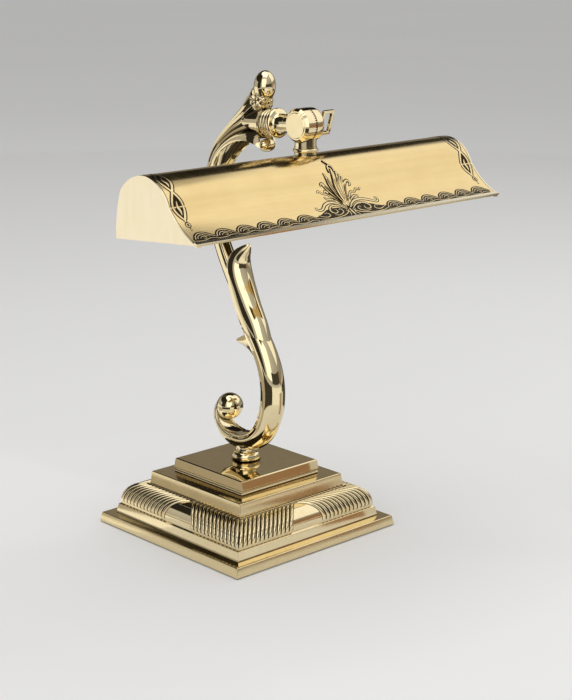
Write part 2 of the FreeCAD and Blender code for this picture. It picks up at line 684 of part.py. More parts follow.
def acanthus_head():
    """A hood, open below, that grows out of the strand and carries the arm."""
    lead = [head_point(y, h) for y, h in ((UPPER_STATIONS[-1][0], 0),) + HEAD_LEAD]
    lead += [arm_point(ARM_LENGTH + HEAD_LEAD_RUN), arm_point(ARM_LENGTH + 5)]
    conduit = tube(lead, CONDUIT_RADIUS)
    calyx = spindle(head_point(*CALYX_CENTRE), CALYX_RADIUS, CALYX_HALF_LENGTH, Z_AXIS)
    hood = hollow_leaf(head_point, HEAD_STATIONS, HEAD_WALL)
    fills = [head_fill(HEAD_STATIONS[:2]), head_fill(HEAD_STATIONS[-2:])]
    body = hood.fuse(fills + [conduit, boss_core(), calyx])
    body = body.common(box_at(2 * PLINTH_HALF, 2 * PLINTH_HALF, STEM_TOP, STEM_LENGTH))
    seat = Part.makeCylinder(ARM_BASE_RADIUS, ARM_LENGTH, KNUCKLE, ARM_AXIS)
    for taken in (head_curl(CURL_SEAT_GAP), head_bud(), seat, tube(lead_route()[-10:], LEAD_BORE)):
        body = body.cut(taken)
    return body


def boss_core():
    """Solid end of the arm inside the hood."""
    radius, start = ARM_BASE_RADIUS - 1.0, ARM_LENGTH
    parallel, end = start + BOSS_CORE_PARALLEL, start + BOSS_CORE_LENGTH
    bulge = (radius - 1.2, (parallel + end + 1) / 2)
    return turned([(0, start), (radius, start), (radius, parallel),
                   (bulge, (CONDUIT_RADIUS + 1.6, end)), (0, end)], KNUCKLE, ARM_AXIS)


def spindle(centre, radius, half_length, axis):
    """A solid of revolution with an oval outline along axis."""
    side = X_AXIS if abs(axis.x) < 0.5 else V(0, -1, 0)
    oval = Part.Ellipse(centre + axis * half_length, centre + side * radius, centre)
    outline = Part.Wire([Part.ArcOfEllipse(oval, 0, math.pi).toShape(),
                         Part.LineSegment(centre - axis * half_length,
                                          centre + axis * half_length).toShape()])
    return Part.Face(outline).revolve(centre, axis, 360)


def head_bud():
    lean = V(0, -0.12, 1).normalize()
    return spindle(head_point(*BUD_CENTRE), BUD_RADIUS, BUD_HALF_LENGTH, lean)


def head_curl(clearance=0.0):
    return spindle(head_point(*CURL_CENTRE), CURL_RADIUS + clearance,
                   CURL_HALF_LENGTH + clearance, X_AXIS)


def arm_boss():
    """Ringed, turned boss between the head and the knuckle."""
    base, bead, groove = ARM_BASE_RADIUS, ARM_BEAD_RADIUS, ARM_GROOVE_RADIUS
    neck, big, end = ARM_NECK_RADIUS, ARM_RING_RADIUS, ARM_LENGTH
    outline = [(0, end), (base, end), (base, end - 2.5), (groove, end - 4.5), (groove, end - 6.0),
               ((bead, end - 7.4), (groove, end - 8.8)), ((bead, end - 10.2), (groove, end - 11.6)),
               (groove, end - 12.4), (big - 2, end - 13.4), ((big, end - 16.0), (big - 2, end - 18.6)),
               (neck, end - 21.0), (neck, DRUM_RADIUS + 6), (0, DRUM_RADIUS + 6)]
    body = turned(outline, KNUCKLE, ARM_AXIS)
    return body.cut(tube(lead_route()[-5:], LEAD_BORE))


# ---------------------------------------------------------------- knuckle
def half_washer():
    return FRICTION_WASHER_THICKNESS / 2


def drum_half(inner, outer):
    """Half of the drum, from x = inner to x = outer, with its cavity and hub."""
    side = 1 if outer > inner else -1
    body = Part.makeCylinder(DRUM_RADIUS, abs(outer - inner), KNUCKLE + V(inner, 0, 0), V(side, 0, 0))
    rim = [e for e in body.Edges if len(e.Vertexes) == 1 and abs(e.Vertexes[0].X - outer) < 0.01]
    body = body.makeChamfer(DRUM_CHAMFER, rim) if side < 0 else body.makeFillet(DRUM_ROUND, rim)
    cavity = ring(DRUM_CAVITY_RADIUS, DRUM_HUB_RADIUS, DRUM_CAVITY_DEPTH,
                  KNUCKLE + V(inner, 0, 0), V(side, 0, 0))
    return body.cut(cavity)


def knuckle_arm_half():
    body = drum_half(-half_washer(), -DRUM_LEFT)
    neck = Part.makeCylinder(ARM_NECK_RADIUS, DRUM_RADIUS + 6, KNUCKLE, ARM_AXIS)
    clear = Part.makeCylinder(DRUM_RADIUS + CROSS_CLEARANCE, 2 * DRUM_RADIUS,
                              KNUCKLE - V(half_washer(), 0, 0), X_AXIS)
    inner = Part.makeCylinder(DRUM_CAVITY_RADIUS + 1, 2 * DRUM_LEFT, KNUCKLE - V(DRUM_LEFT, 0, 0), X_AXIS)
    body = body.fuse(neck.cut(clear).cut(inner))
    left = KNUCKLE - V(DRUM_LEFT, 0, 0)
    pocket = Part.makeCylinder(CLAMP_HEAD_RADIUS, CAP_THICKNESS + CLAMP_HEAD_HEIGHT, left, X_AXIS)
    recess = Part.makeCylinder(CAP_RADIUS, CAP_THICKNESS, left, X_AXIS)
    shank = Part.makeCylinder(CLAMP_RADIUS, DRUM_LEFT, left, X_AXIS)
    return body.cut(pocket).cut(recess).cut(shank).cut(tube(lead_route()[-4:], LEAD_BORE))


def drum_cap():
    """Polished disc pressed into the arm's half over the clamp screw's head."""
    foot = KNUCKLE + V(CAP_THICKNESS - DRUM_LEFT, 0, 0)
    proud = CAP_THICKNESS + 0.5
    return turned([(0, 0), (CAP_RADIUS, 0), (CAP_RADIUS, proud - 0.5), (CAP_RADIUS - 0.5, proud),
                   (0, proud)], foot, V(-1, 0, 0))


def key_foot():
    """Distance from the knuckle's middle to the foot of the key's hub, along X."""
    return DRUM_RIGHT + SPRING_WASHER_THICKNESS + WASHER_PLAY


def clamp_screw():
    head = CAP_THICKNESS + CLAMP_HEAD_HEIGHT - DRUM_LEFT
    body = ring(CLAMP_HEAD_RADIUS, 0, CLAMP_HEAD_HEIGHT,
                KNUCKLE + V(head - CLAMP_HEAD_HEIGHT, 0, 0), X_AXIS)
    length = key_foot() + KEY_HUB_LENGTH - 1.0 - head
    return body.fuse(ring(CLAMP_RADIUS, 0, length, KNUCKLE + V(head, 0, 0), X_AXIS))


def friction_washer():
    return ring(DRUM_RADIUS - 0.6, DRUM_CAVITY_RADIUS + 0.4, FRICTION_WASHER_THICKNESS - WASHER_PLAY,
                KNUCKLE - V(half_washer(), 0, 0), X_AXIS)


def spring_washer():
    return ring(KEY_HUB_RADIUS + 1.6, CLAMP_RADIUS + CLAMP_FIT, SPRING_WASHER_THICKNESS - WASHER_PLAY,
                KNUCKLE + V(DRUM_RIGHT + WASHER_PLAY, 0, 0), X_AXIS)


def wing_key():
    """Flat rectangular loop on a threaded hub; it turns on the clamp screw."""
    foot = KNUCKLE + V(key_foot(), 0, 0)
    hub = ring(KEY_HUB_RADIUS, 0, KEY_HUB_LENGTH, foot, X_AXIS)
    start = foot + V(KEY_HUB_LENGTH - 0.4, -KEY_DEPTH / 2, -KEY_LOOP_HEIGHT / 2)
    loop = Part.makeBox(KEY_LOOP_WIDTH, KEY_DEPTH, KEY_LOOP_HEIGHT, start)
    hole = Part.makeBox(KEY_LOOP_WIDTH - 2 * KEY_BAR, KEY_DEPTH, KEY_LOOP_HEIGHT - 2 * KEY_BAR,
                        start + V(KEY_BAR, 0, KEY_BAR))
    loop = loop.makeFillet(0.7, [e for e in loop.Edges if abs(e.tangentAt(0).y) > 0.9])
    body = hub.fuse(loop.cut(hole))
    body = body.cut(ring(CLAMP_RADIUS + CLAMP_FIT, 0, KEY_HUB_LENGTH - 0.9, foot, X_AXIS))
    return body.rotated(KNUCKLE, X_AXIS, KEY_TURN)


def arm_lead():
    return tube(lead_route(), LEAD_RADIUS)


# ---------------------------------------------------------------- post and shade
def shade_point(y, z):
    return SHADE_TOP + V(0, y, z)


SHADE_ARCS = (SHADE_BACK_FOOT, (SHADE_BACK_BOW, SHADE_SHOULDER), (SHADE_CROWN_BACK, SHADE_CREST),
              (SHADE_CROWN_FRONT, SHADE_WAIST), (SHADE_HOLLOW, SHADE_LIP))


def shade_outline():
    points = in_plane(shade_point, SHADE_ARCS)
    edges, last = [], points[0]
    for middle, end in points[1:]:
        edges.append(Part.Arc(last, middle, end).toShape())
        last = end
    return Part.Wire(edges)


def shade_band(inset, thickness, length):
    """A sheet that follows the shade's outline, inset from it, centred on X."""
    line = shade_outline()
    if inset:
        line = line.makeOffset2D(-inset, 2, False, True, False)
    band = line.makeOffset2D(-thickness, 2, True, True, False)
    return band.extrude(X_AXIS * length).translated(X_AXIS * (-length / 2))


def shade_filled(length):
    line = shade_outline()
    ends = Part.LineSegment(shade_point(*SHADE_LIP), shade_point(*SHADE_BACK_FOOT)).toShape()
    flat = Part.Face(Part.Wire(line.Edges + [ends]))
    return flat.extrude(X_AXIS * length).translated(X_AXIS * (-length / 2))


def shade_shell():
    body = shade_band(0, SHADE_WALL, SHADE_LENGTH - 2 * END_CAP_WALL)
    hole = Part.makeCylinder(NIPPLE_RADIUS, 12, SHADE_TOP - V(0, 0, 10))
    return body.cut(hole)


def end_cap(side):
    """Flat plate over one end of the shell, with a flange that fits inside it."""
    place = side * (SHADE_LENGTH - END_CAP_WALL) / 2
    plate = shade_filled(END_CAP_WALL).translated(X_AXIS * place)
    flange = shade_band(SHADE_WALL, END_CAP_WALL, CAP_LIP)
    inside = side * (SHADE_LENGTH / 2 - END_CAP_WALL - CAP_LIP / 2)
    return plate.fuse(flange.translated(X_AXIS * inside))


def end_cap_left():
    return end_cap(-1)


def end_cap_right():
    return end_cap(1)


def lip_bead():
    """Flat bright moulding soldered along the outside of the lip."""
    line = shade_outline().Edges[-1]
    end = shade_point(*SHADE_LIP)
    back = line.valueAt(line.getParameterByLength(line.Length - LIP_WIDTH))
    along = (end - back).normalize()
    up = V(0, along.z, -along.y)
    if up.z < 0:
        up = up * -1
    seat = up * LIP_SEAT_GAP
    corners = [end + seat, back + seat, back + up * LIP_THICKNESS, end + up * LIP_THICKNESS]
    return face(corners).extrude(X_AXIS * SHADE_LENGTH).translated(X_AXIS * (-SHADE_LENGTH / 2))


def knuckle_shade_half():
    """The shade's half of the drum with the post below it."""
    body = drum_half(half_washer(), DRUM_RIGHT)
    flange = POST_LENGTH - POST_FOOT_HEIGHT - POST_FLANGE_HEIGHT
    neck = turned([(0, 0), (POST_RADIUS, 0), (POST_RADIUS, flange),
                   ((POST_FLANGE_RADIUS, flange + POST_FLANGE_HEIGHT / 2),
                    (POST_RADIUS, flange + POST_FLANGE_HEIGHT)),
                   (POST_RADIUS, POST_LENGTH + 3), (0, POST_LENGTH + 3)], KNUCKLE, -Z_AXIS)
    clear = Part.makeCylinder(DRUM_RADIUS + CROSS_CLEARANCE, 2 * DRUM_RADIUS,
                              KNUCKLE + V(half_washer(), 0, 0), V(-1, 0, 0))
    inner = Part.makeCylinder(DRUM_CAVITY_RADIUS + 1, 2 * DRUM_RIGHT, KNUCKLE - V(DRUM_RIGHT, 0, 0), X_AXIS)
    neck = neck.cut(clear).cut(inner).cut(shade_filled(POST_SEAT_SPAN))
    shank = Part.makeCylinder(CLAMP_RADIUS + CLAMP_FIT, DRUM_RIGHT, KNUCKLE, X_AXIS)
    grip = Part.makeCylinder(NIPPLE_RADIUS, NIPPLE_GRIP + 3, nipple_top() - V(0, 0, NIPPLE_GRIP + 3))
    return body.fuse(neck).cut(shank).cut(grip).cut(tube(shade_lead_route(), LEAD_BORE))


def nipple_top():
    return SHADE_TOP + V(0, 0, NIPPLE_GRIP - 3)


def shade_lead_route():
    """From the drum's cavity down the post and the nipple into the shade."""
    x = (DRUM_CAVITY_DEPTH + FRICTION_WASHER_THICKNESS) / 2
    inside = NIPPLE_BORE - LEAD_RADIUS - 0.2
    return [KNUCKLE + V(x, 0, -7.4), KNUCKLE + V(x, 0, -14.2), nipple_top() + V(inside, 0, 0.5),
            nipple_foot() + V(inside, 0, -1.0)]


def nipple_foot():
    return nut_foot() - V(0, 0, 1.0)


def nut_foot():
    return SHADE_TOP - V(0, 0, BRACKET_DROP + BRACKET_THICKNESS + NIPPLE_NUT_HEIGHT)


def shade_nipple():
    foot = nipple_foot()
    return ring(NIPPLE_RADIUS, NIPPLE_BORE, nipple_top().z - foot.z, foot)


def shade_lead():
    return tube(shade_lead_route(), LEAD_RADIUS)


# ---------------------------------------------------------------- lamps in the shade
def saddle_washer():
    """Washer between the shell's curved inside and the flat bracket."""
    body = Part.makeCylinder(SADDLE_RADIUS, BRACKET_DROP, SHADE_TOP - V(0, 0, BRACKET_DROP))
    body = body.common(shade_filled(POST_SEAT_SPAN))
    body = body.cut(shade_band(0, SHADE_WALL, POST_SEAT_SPAN))
    return body.cut(Part.makeCylinder(NIPPLE_RADIUS, 2 * BRACKET_DROP, nut_foot()))


def lamp_bracket():
    """Steel strip with an ear bent down at each end for a lampholder."""
    head = SHADE_TOP.z - BRACKET_DROP
    drop = -LAMP_AXIS[1] - BRACKET_DROP + BRACKET_WIDTH / 2
    y = SHADE_TOP.y
    body = box_at(BRACKET_LENGTH, BRACKET_WIDTH, head - BRACKET_THICKNESS, BRACKET_THICKNESS, 0, y)
    for side in (-1, 1):
        x = side * (BRACKET_LENGTH - BRACKET_THICKNESS) / 2
        ear = box_at(BRACKET_THICKNESS, BRACKET_WIDTH, head - drop, drop, x, y)
        hole = Part.makeCylinder(HOLDER_SPIGOT_RADIUS, 2 * BRACKET_THICKNESS,
                                 lamp_point(x - BRACKET_THICKNESS), X_AXIS)
        body = body.fuse(ear).cut(hole)
    return drilled(body, [(0, y)], NIPPLE_RADIUS, head - BRACKET_THICKNESS, BRACKET_THICKNESS)


def nipple_nut():
    return ring(NIPPLE_NUT_RADIUS, NIPPLE_RADIUS, NIPPLE_NUT_HEIGHT, nut_foot())


def lamp_point(x):
    return SHADE_TOP + V(x, LAMP_AXIS[0], LAMP_AXIS[1])


def on_side(side, distance):
    """A point on the lamps' axis, measured outwards from the ear's outer face."""
    return lamp_point(side * (BRACKET_LENGTH / 2 + distance)), V(side, 0, 0)


def lampholder(side):
    foot, axis = on_side(side, 0)
    body = ring(HOLDER_RADIUS, 0, HOLDER_LENGTH, foot, axis)
    mouth, _ = on_side(side, HOLDER_LENGTH - LAMP_CAP_LENGTH)
    body = body.cut(ring(HOLDER_BORE, 0, LAMP_CAP_LENGTH, mouth, axis))
    reach = BRACKET_THICKNESS + HOLDER_SPIGOT_LENGTH
    inner, _ = on_side(side, -reach)
    body = body.fuse(ring(HOLDER_SPIGOT_RADIUS, 0, reach, inner, axis))
    return body.cut(ring(2.0 * LAMP_LEAD_RADIUS, 0, reach, inner, axis))


def holder_nuts():
    nuts = []
    for side in (-1, 1):
        foot, axis = on_side(side, -BRACKET_THICKNESS - HOLDER_NUT_THICKNESS)
        nuts.append(ring(HOLDER_NUT_RADIUS, HOLDER_SPIGOT_RADIUS, HOLDER_NUT_THICKNESS, foot, axis))
    return Part.makeCompound(nuts)


def lamp_cap(side):
    foot, axis = on_side(side, HOLDER_LENGTH - LAMP_CAP_LENGTH)
    cap, length = LAMP_CAP_RADIUS, LAMP_CAP_LENGTH
    return turned([(0, 0), (2.4, 0), (2.4, 1.2), (cap - 1.5, 3.0), (cap, 4.5), (cap, length),
                   (0, length)], foot, axis)


def lamp_glass(side):
    """Clear tubular envelope, open at its neck on the cap."""
    foot, axis = on_side(side, HOLDER_LENGTH)
    neck, radius, wall, end = LAMP_CAP_RADIUS - 0.6, LAMP_RADIUS, LAMP_GLASS_WALL, LAMP_LENGTH
    slope = math.sqrt(0.5)
    outline = [(neck - wall, 0), (neck, 0), (radius, LAMP_SHOULDER), (radius, end - radius),
               ((radius * slope, end - radius + radius * slope), (0, end)), (0, end - wall),
               (((radius - wall) * slope, end - radius + (radius - wall) * slope),
                (radius - wall, end - radius)), (radius - wall, LAMP_SHOULDER + 0.4)]
    return turned(outline, foot, axis)


def lamp_filaments():
    """Glass mount with its filament, one in each lamp."""
    parts = []
    for side in (-1, 1):
        foot, axis = on_side(side, HOLDER_LENGTH)
        mount = turned([(0, 0), (4.0, 0), (2.2, 9), (0, 9)], foot, axis)
        parts.append(mount.fuse(ring(FILAMENT_RADIUS, 0, FILAMENT_LENGTH, foot + axis * 8, axis)))
    return Part.makeCompound(parts)


def splice_head():
    return nipple_foot() - V(0, 0, 1.0)


def lead_splice():
    return ring(SPLICE_RADIUS, 0, SPLICE_LENGTH, splice_head() - V(0, 0, SPLICE_LENGTH))


def lamp_lead(side):
    """Lead from the splice into a lampholder's spigot."""
    start = splice_head() - V(0, 0, SPLICE_LENGTH)
    x = side * 1.7
    end, axis = on_side(side, -BRACKET_THICKNESS - HOLDER_SPIGOT_LENGTH + 3)
    drop = start.z - end.z
    bend = V(x, end.y, start.z - 0.45 * drop)
    route = [start + V(x, 0, 0), start + V(x, 0, -2.5), bend,
             V(x + side * 0.5 * drop, end.y, end.z), end]
    return tube(route, LAMP_LEAD_RADIUS)


# ---------------------------------------------------------------- export
NODES = {
    "felt_pad": felt_pad,
    "bottom_cover": bottom_cover,
    "cover_screws": cover_screws,
    "base_plinth": base_plinth,
    "base_moulding": base_moulding,
    "base_step_block": base_step_block,
    "base_top_plate": base_top_plate,
    "ballast_block": ballast_block,
    "tie_tube": tie_tube,
    "tie_washer": tie_washer,
    "tie_nut": tie_nut,
    "inlet_bush": inlet_bush,
    "inlet_nut": inlet_nut,
    "cord_clamp": cord_clamp,
    "cord_clamp_screws": cord_clamp_screws,
    "terminal_block": terminal_block,
    "terminal_screws": terminal_screws,
    "earth_terminal": earth_terminal,
    "stem_collar": stem_collar,
    "scroll_stem": scroll_stem,
    "scroll_ball": scroll_ball,
    "acanthus_head": acanthus_head,
    "head_bud": head_bud,
    "head_curl": head_curl,
    "arm_boss": arm_boss,
    "arm_lead": arm_lead,
    "knuckle_arm_half": knuckle_arm_half,
    "drum_cap": drum_cap,
    "clamp_screw": clamp_screw,
    "friction_washer": friction_washer,
    "spring_washer": spring_washer,
    "wing_key": wing_key,
    "knuckle_shade_half": knuckle_shade_half,
    "shade_nipple": shade_nipple,
    "nipple_nut": nipple_nut,
    "saddle_washer": saddle_washer,
    "shade_lead": shade_lead,
    "shade_shell": shade_shell,
    "end_cap_left": end_cap_left,
    "end_cap_right": end_cap_right,
    "lip_bead": lip_bead,
    "lamp_bracket": lamp_bracket,
    "lead_splice": lead_splice,
    "holder_nuts": holder_nuts,
    "lamp_filaments": lamp_filaments,
}
for hand, side in (("left", -1), ("right", 1)):
    NODES["lampholder_" + hand] = lambda side=side: lampholder(side)
    NODES["lamp_cap_" + hand] = lambda side=side: lamp_cap(side)
    NODES["lamp_glass_" + hand] = lambda side=side: lamp_glass(side)
    NODES["lamp_lead_" + hand] = lambda side=side: lamp_lead(side)

os.makedirs("parts", exist_ok=True)
for name, make in NODES.items():
    shape = make()
    if not shape.isValid():
        print("not valid:", name)
    print(name, len(shape.Solids), round(shape.Volume))
    shape.exportStep("parts/" + name + ".step")
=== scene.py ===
import math

import bmesh
import bpy
from mathutils import Matrix, Vector, noise


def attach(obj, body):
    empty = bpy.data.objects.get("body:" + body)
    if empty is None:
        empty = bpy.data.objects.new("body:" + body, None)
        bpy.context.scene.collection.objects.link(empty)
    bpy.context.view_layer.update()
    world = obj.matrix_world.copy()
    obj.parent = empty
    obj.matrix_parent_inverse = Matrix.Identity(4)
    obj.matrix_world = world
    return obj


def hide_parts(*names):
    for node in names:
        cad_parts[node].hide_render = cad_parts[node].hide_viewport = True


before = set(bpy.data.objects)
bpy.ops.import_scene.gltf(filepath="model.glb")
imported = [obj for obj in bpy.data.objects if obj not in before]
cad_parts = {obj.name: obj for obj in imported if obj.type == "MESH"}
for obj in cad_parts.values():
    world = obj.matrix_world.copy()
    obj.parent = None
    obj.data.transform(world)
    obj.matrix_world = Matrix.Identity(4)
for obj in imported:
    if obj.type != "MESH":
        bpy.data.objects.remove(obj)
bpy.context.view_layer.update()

MM = 0.001
WHITE = (1.0, 1.0, 1.0, 1.0)


# ---------------- the studio
# A wide pale floor under an even grey sky, three soft boxes, and a ring of curved glowing cards,
# pale, dark and coppery, that light nothing and show only in polished metal, as painted reflections. None
# of it is part of the lamp.
def put(tree, kind, inputs=None, **settings):
    """Add a node; an input that is another node's output is linked, any other is set."""
    made = tree.nodes.new(kind)
    for key, value in settings.items():
        setattr(made, key, value)
    for key, value in (inputs or {}).items():
        if isinstance(value, bpy.types.NodeSocket):
            tree.links.new(value, made.inputs[key])
        else:
            made.inputs[key].default_value = value
    return made


def new_material(name, preview):
    """An empty node material; preview is its colour in a plain viewport."""
    made = bpy.data.materials.new(name)
    made.use_nodes = True
    made.node_tree.nodes.clear()
    made.diffuse_color = tuple(preview) + (1.0,)
    return made, made.node_tree


def finish_material(tree, inputs):
    """Close a material's tree with a Principled shader."""
    shader = put(tree, "ShaderNodeBsdfPrincipled", inputs)
    put(tree, "ShaderNodeOutputMaterial", {"Surface": shader.outputs["BSDF"]})


def speckle(tree, where, scale, detail, roughness=0.5):
    """The value of a noise texture."""
    return put(tree, "ShaderNodeTexNoise", {"Vector": where, "Scale": scale, "Detail": detail,
                                            "Roughness": roughness}).outputs["Fac"]


def spread(tree, value, low, high, to_low=0.0, to_high=1.0):
    """A value carried from one range to another."""
    return put(tree, "ShaderNodeMapRange", {"Value": value, "From Min": low, "From Max": high,
                                            "To Min": to_low, "To Max": to_high}).outputs["Result"]


def blended(tree, factor, a, b):
    """Two colours mixed by a factor."""
    mix = put(tree, "ShaderNodeMix", {"Factor": factor, "A": a, "B": b}, data_type="RGBA")
    return mix.outputs["Result"]


def bumped(tree, height, strength, distance):
    """The normal of a surface with fine relief."""
    return put(tree, "ShaderNodeBump", {"Height": height, "Strength": strength,
                                        "Distance": distance}).outputs["Normal"]


def placed(name, data):
    """A new object in the scene."""
    made = bpy.data.objects.new(name, data)
    bpy.context.scene.collection.objects.link(made)
    return made


def studio_sheet(name, points, faces, paint):
    """A sheet that belongs to the studio and not to the lamp."""
    mesh = bpy.data.meshes.new(name)
    mesh.from_pydata(points, [], faces)
    mesh.materials.append(paint)
    made = placed(name, mesh)
    return made


VIEW_TURN, VIEW_RISE = math.radians(-42.986), math.radians(14.769)
VIEW_DISTANCE, VIEW_LENS, VIEW_SHIFT, VIEW_LEVEL = 1.46272, 84.79, 0.035976, 0.163266
across = Vector((math.cos(VIEW_TURN), math.sin(VIEW_TURN), 0))
back = Vector((math.sin(VIEW_TURN) * math.cos(VIEW_RISE),
               -math.cos(VIEW_TURN) * math.cos(VIEW_RISE), math.sin(VIEW_RISE)))
looked_at = across * VIEW_SHIFT + Vector((0, 0, VIEW_LEVEL))
lens = bpy.data.cameras.new("studio_camera")
lens.lens, lens.sensor_width, lens.clip_end = VIEW_LENS, 36.0, 100.0
camera = placed("studio_camera", lens)
camera.matrix_world = Matrix.Translation(looked_at + back * VIEW_DISTANCE) @ \
    Matrix((across, back.cross(across), back)).transposed().to_4x4()
bpy.context.scene.camera = camera
bpy.context.scene.view_settings.view_transform = "Standard"

FLOOR_REACH = 16.0
floor_paint, tree = new_material("floor_paint", (0.8, 0.79, 0.77))
blotch = speckle(tree, put(tree, "ShaderNodeTexCoord").outputs["Object"], 1.3, 3.0)
finish_material(tree, {
    "Base Color": blended(tree, blotch, (0.85, 0.845, 0.835, 1), (0.88, 0.875, 0.865, 1)),
    "Roughness": 0.75, "Specular IOR Level": 0.2})
studio_sheet("studio_floor", [(x * FLOOR_REACH, y * FLOOR_REACH, 0)
                              for x, y in ((-1, -1), (1, -1), (1, 1), (-1, 1))],
             [(0, 1, 2, 3)], floor_paint)

LAMP_MIDDLE = Vector((0, -0.03, 0.2))
CARD_STEPS = 8


def towards(turn, rise):
    """A direction: turn in degrees from -Y towards +X, rise in degrees above the horizon."""
    turn, rise = math.radians(turn), math.radians(rise)
    return Vector((math.sin(turn) * math.cos(rise), -math.cos(turn) * math.cos(rise), math.sin(rise)))


def reflection_glow_card(name, turns, inner, outer, colour, strength):
    """A curved glowing card that only polished metal sees, a painted reflection that lights nothing; inner
    and outer are (radius, height) in metres.
    """
    paint, tree = new_material(name, colour)
    glow = put(tree, "ShaderNodeEmission", {"Color": tuple(colour) + (1.0,), "Strength": strength})
    put(tree, "ShaderNodeOutputMaterial", {"Surface": glow.outputs["Emission"]})
    points = []
    for k in range(CARD_STEPS + 1):
        turn = turns[0] + (turns[1] - turns[0]) * k / CARD_STEPS
        points += [towards(turn, 0) * radius + Vector((0, 0, level)) for radius, level in (inner, outer)]
    faces = [(2 * k, 2 * k + 1, 2 * k + 3, 2 * k + 2) for k in range(CARD_STEPS)]
    made = studio_sheet(name, points, faces, paint)
    for ray in ("camera", "diffuse", "shadow", "transmission"):
        setattr(made, "visible_" + ray, False)


# Colours of the glowing cards, which the brass shows as painted reflections: pale, dark and coppery.
PALE, DARK, WARM = (1.0, 0.985, 0.95), (1.0, 0.9, 0.75), (1.0, 0.62, 0.38)
ON_FLOOR, NEAR_FLOOR = 0.003, 0.004
NEAR = (0.19, NEAR_FLOOR), (0.65, NEAR_FLOOR)
ABOVE = (1.58, 0.84), (0.8, 1.7)
for name, turns, (inner, outer), colour, strength in (
        ("black_card_above", (113, 178), ABOVE, DARK, 0.012),
        ("black_card_left", (-180, -82), ABOVE, DARK, 0.02),
        ("dark_card_left", (-122, -84), ((1.7, 0.08), (1.1, 1.5)), DARK, 0.03),
        ("dark_card_front", (-34, 33), ((1.7, 0.11), (1.67, 0.52)), DARK, 0.06),
        ("grey_card_behind", (95, 180), ((1.69, 0.02), (1.58, 0.84)), DARK, 0.23),
        ("copper_card_right", (34, 50), ((1.7, 0.02), (1.68, 0.47)), WARM, 0.3),
        ("near_card_left", (-162, -112), NEAR, DARK, 0.44),
        ("near_card_right", (29, 41), NEAR, WARM, 0.34),
        ("near_card_right_inner", (18, 29), NEAR, PALE, 0.62),
        ("near_card_right_outer", (41, 62), NEAR, PALE, 0.62),
        ("floor_card_behind", (95, 182), ((0.3, ON_FLOOR), (2.5, ON_FLOOR)), DARK, 0.1),
        ("floor_card_left", (-112, -42), ((0.3, ON_FLOOR), (1.6, ON_FLOOR)), DARK, 0.05),
        ("floor_card_right", (50, 95), ((0.3, ON_FLOOR), (1.6, ON_FLOOR)), DARK, 0.07),
        ("floor_glow_front", (-38, 40), ((0.3, ON_FLOOR), (1.5, ON_FLOOR)), PALE, 0.95),
        ("floor_glow_left", (-172, -118), ((0.12, ON_FLOOR), (5.0, ON_FLOOR)), PALE, 1.03)):
    reflection_glow_card(name, turns, inner, outer, colour, strength)

sky = bpy.data.worlds.new("studio_sky")
bpy.context.scene.world = sky
sky.use_nodes = True
tree = sky.node_tree
tree.nodes.clear()
way = put(tree, "ShaderNodeSeparateXYZ", {"Vector": put(tree, "ShaderNodeTexCoord").outputs["Generated"]})
level = put(tree, "ShaderNodeMath", {0: spread(tree, way.outputs["X"], -0.8, 0.8, 0.46, 0.28),
                                     1: spread(tree, way.outputs["Z"], 0.05, 0.9, 1.0, 1.6)},
            operation="MULTIPLY")
glow = put(tree, "ShaderNodeBackground", {"Color": WHITE, "Strength": level.outputs[0]})
put(tree, "ShaderNodeOutputWorld", {"Surface": glow.outputs["Background"]})

# A box's power is its brightness times pi times its area, so none of them burns out in the brass.
for name, turn, rise, distance, width, height, brightness in (
        ("soft_box_right", 69, 38, 1.6, 1.9, 1.2, 0.71),
        ("soft_box_left", -50, 21, 1.6, 1.3, 1.25, 0.88),
        ("soft_box_above", -60, 84, 2.2, 2.5, 2.5, 1.0)):
    light = bpy.data.lights.new(name, "AREA")
    light.shape = "RECTANGLE"
    light.size, light.size_y = width, height
    light.energy = brightness * math.pi * width * height
    away = towards(turn, rise)
    placed(name, light).matrix_world = Matrix.Translation(LAMP_MIDDLE + away * distance) @ \
        (-away).to_track_quat("-Z", "Y").to_matrix().to_4x4()


# ---------------- felt, cover and screws
# A felt pad is glued under a flat steel cover, which four screws hold up inside the plinth.
# Both are flat stock, so the solids keep their shape and get their own finish.
def shader_group(name, inputs, outputs):
    """A node group with named inputs (label, kind, value) and outputs (label, kind)."""
    group = bpy.data.node_groups.new(name, "ShaderNodeTree")
    for label, kind, value in inputs:
        group.interface.new_socket(label, in_out="INPUT", socket_type=kind).default_value = value
    for label, kind in outputs:
        group.interface.new_socket(label, in_out="OUTPUT", socket_type=kind)
    entry = group.nodes.new("NodeGroupInput").outputs
    leave = group.nodes.new("NodeGroupOutput").inputs
    return group, entry, leave


FLOAT, COLOUR, VECTOR = "NodeSocketFloat", "NodeSocketColor", "NodeSocketVector"


def build_grain_group():
    """Two colours mottled at one scale under a finer, stretched grain."""
    group, entry, leave = shader_group("surface_grain", [
        ("Light colour", COLOUR, WHITE), ("Dark colour", COLOUR, WHITE),
        ("Mottle scale", FLOAT, 40.0), ("Grain scale", FLOAT, 600.0),
        ("Grain stretch", VECTOR, (1.0, 1.0, 1.0)),
        ("Least roughness", FLOAT, 0.2), ("Most roughness", FLOAT, 0.4)],
        [("Colour", COLOUR), ("Roughness", FLOAT), ("Height", FLOAT)])
    where = put(group, "ShaderNodeTexCoord").outputs["Object"]
    drawn = put(group, "ShaderNodeVectorMath", {0: where, 1: entry["Grain stretch"]},
                operation="MULTIPLY").outputs["Vector"]
    mottle = speckle(group, where, entry["Mottle scale"], 4.0, 0.6)
    grain = speckle(group, drawn, entry["Grain scale"], 3.0)
    both = put(group, "ShaderNodeMath", {0: mottle, 1: grain}, operation="ADD").outputs[0]
    tone = blended(group, spread(group, both, 0.75, 1.25), entry["Dark colour"], entry["Light colour"])
    rough = spread(group, mottle, 0.3, 0.7, entry["Least roughness"], entry["Most roughness"])
    for label, result in (("Colour", tone), ("Roughness", rough), ("Height", grain)):
        group.links.new(result, leave[label])
    return group


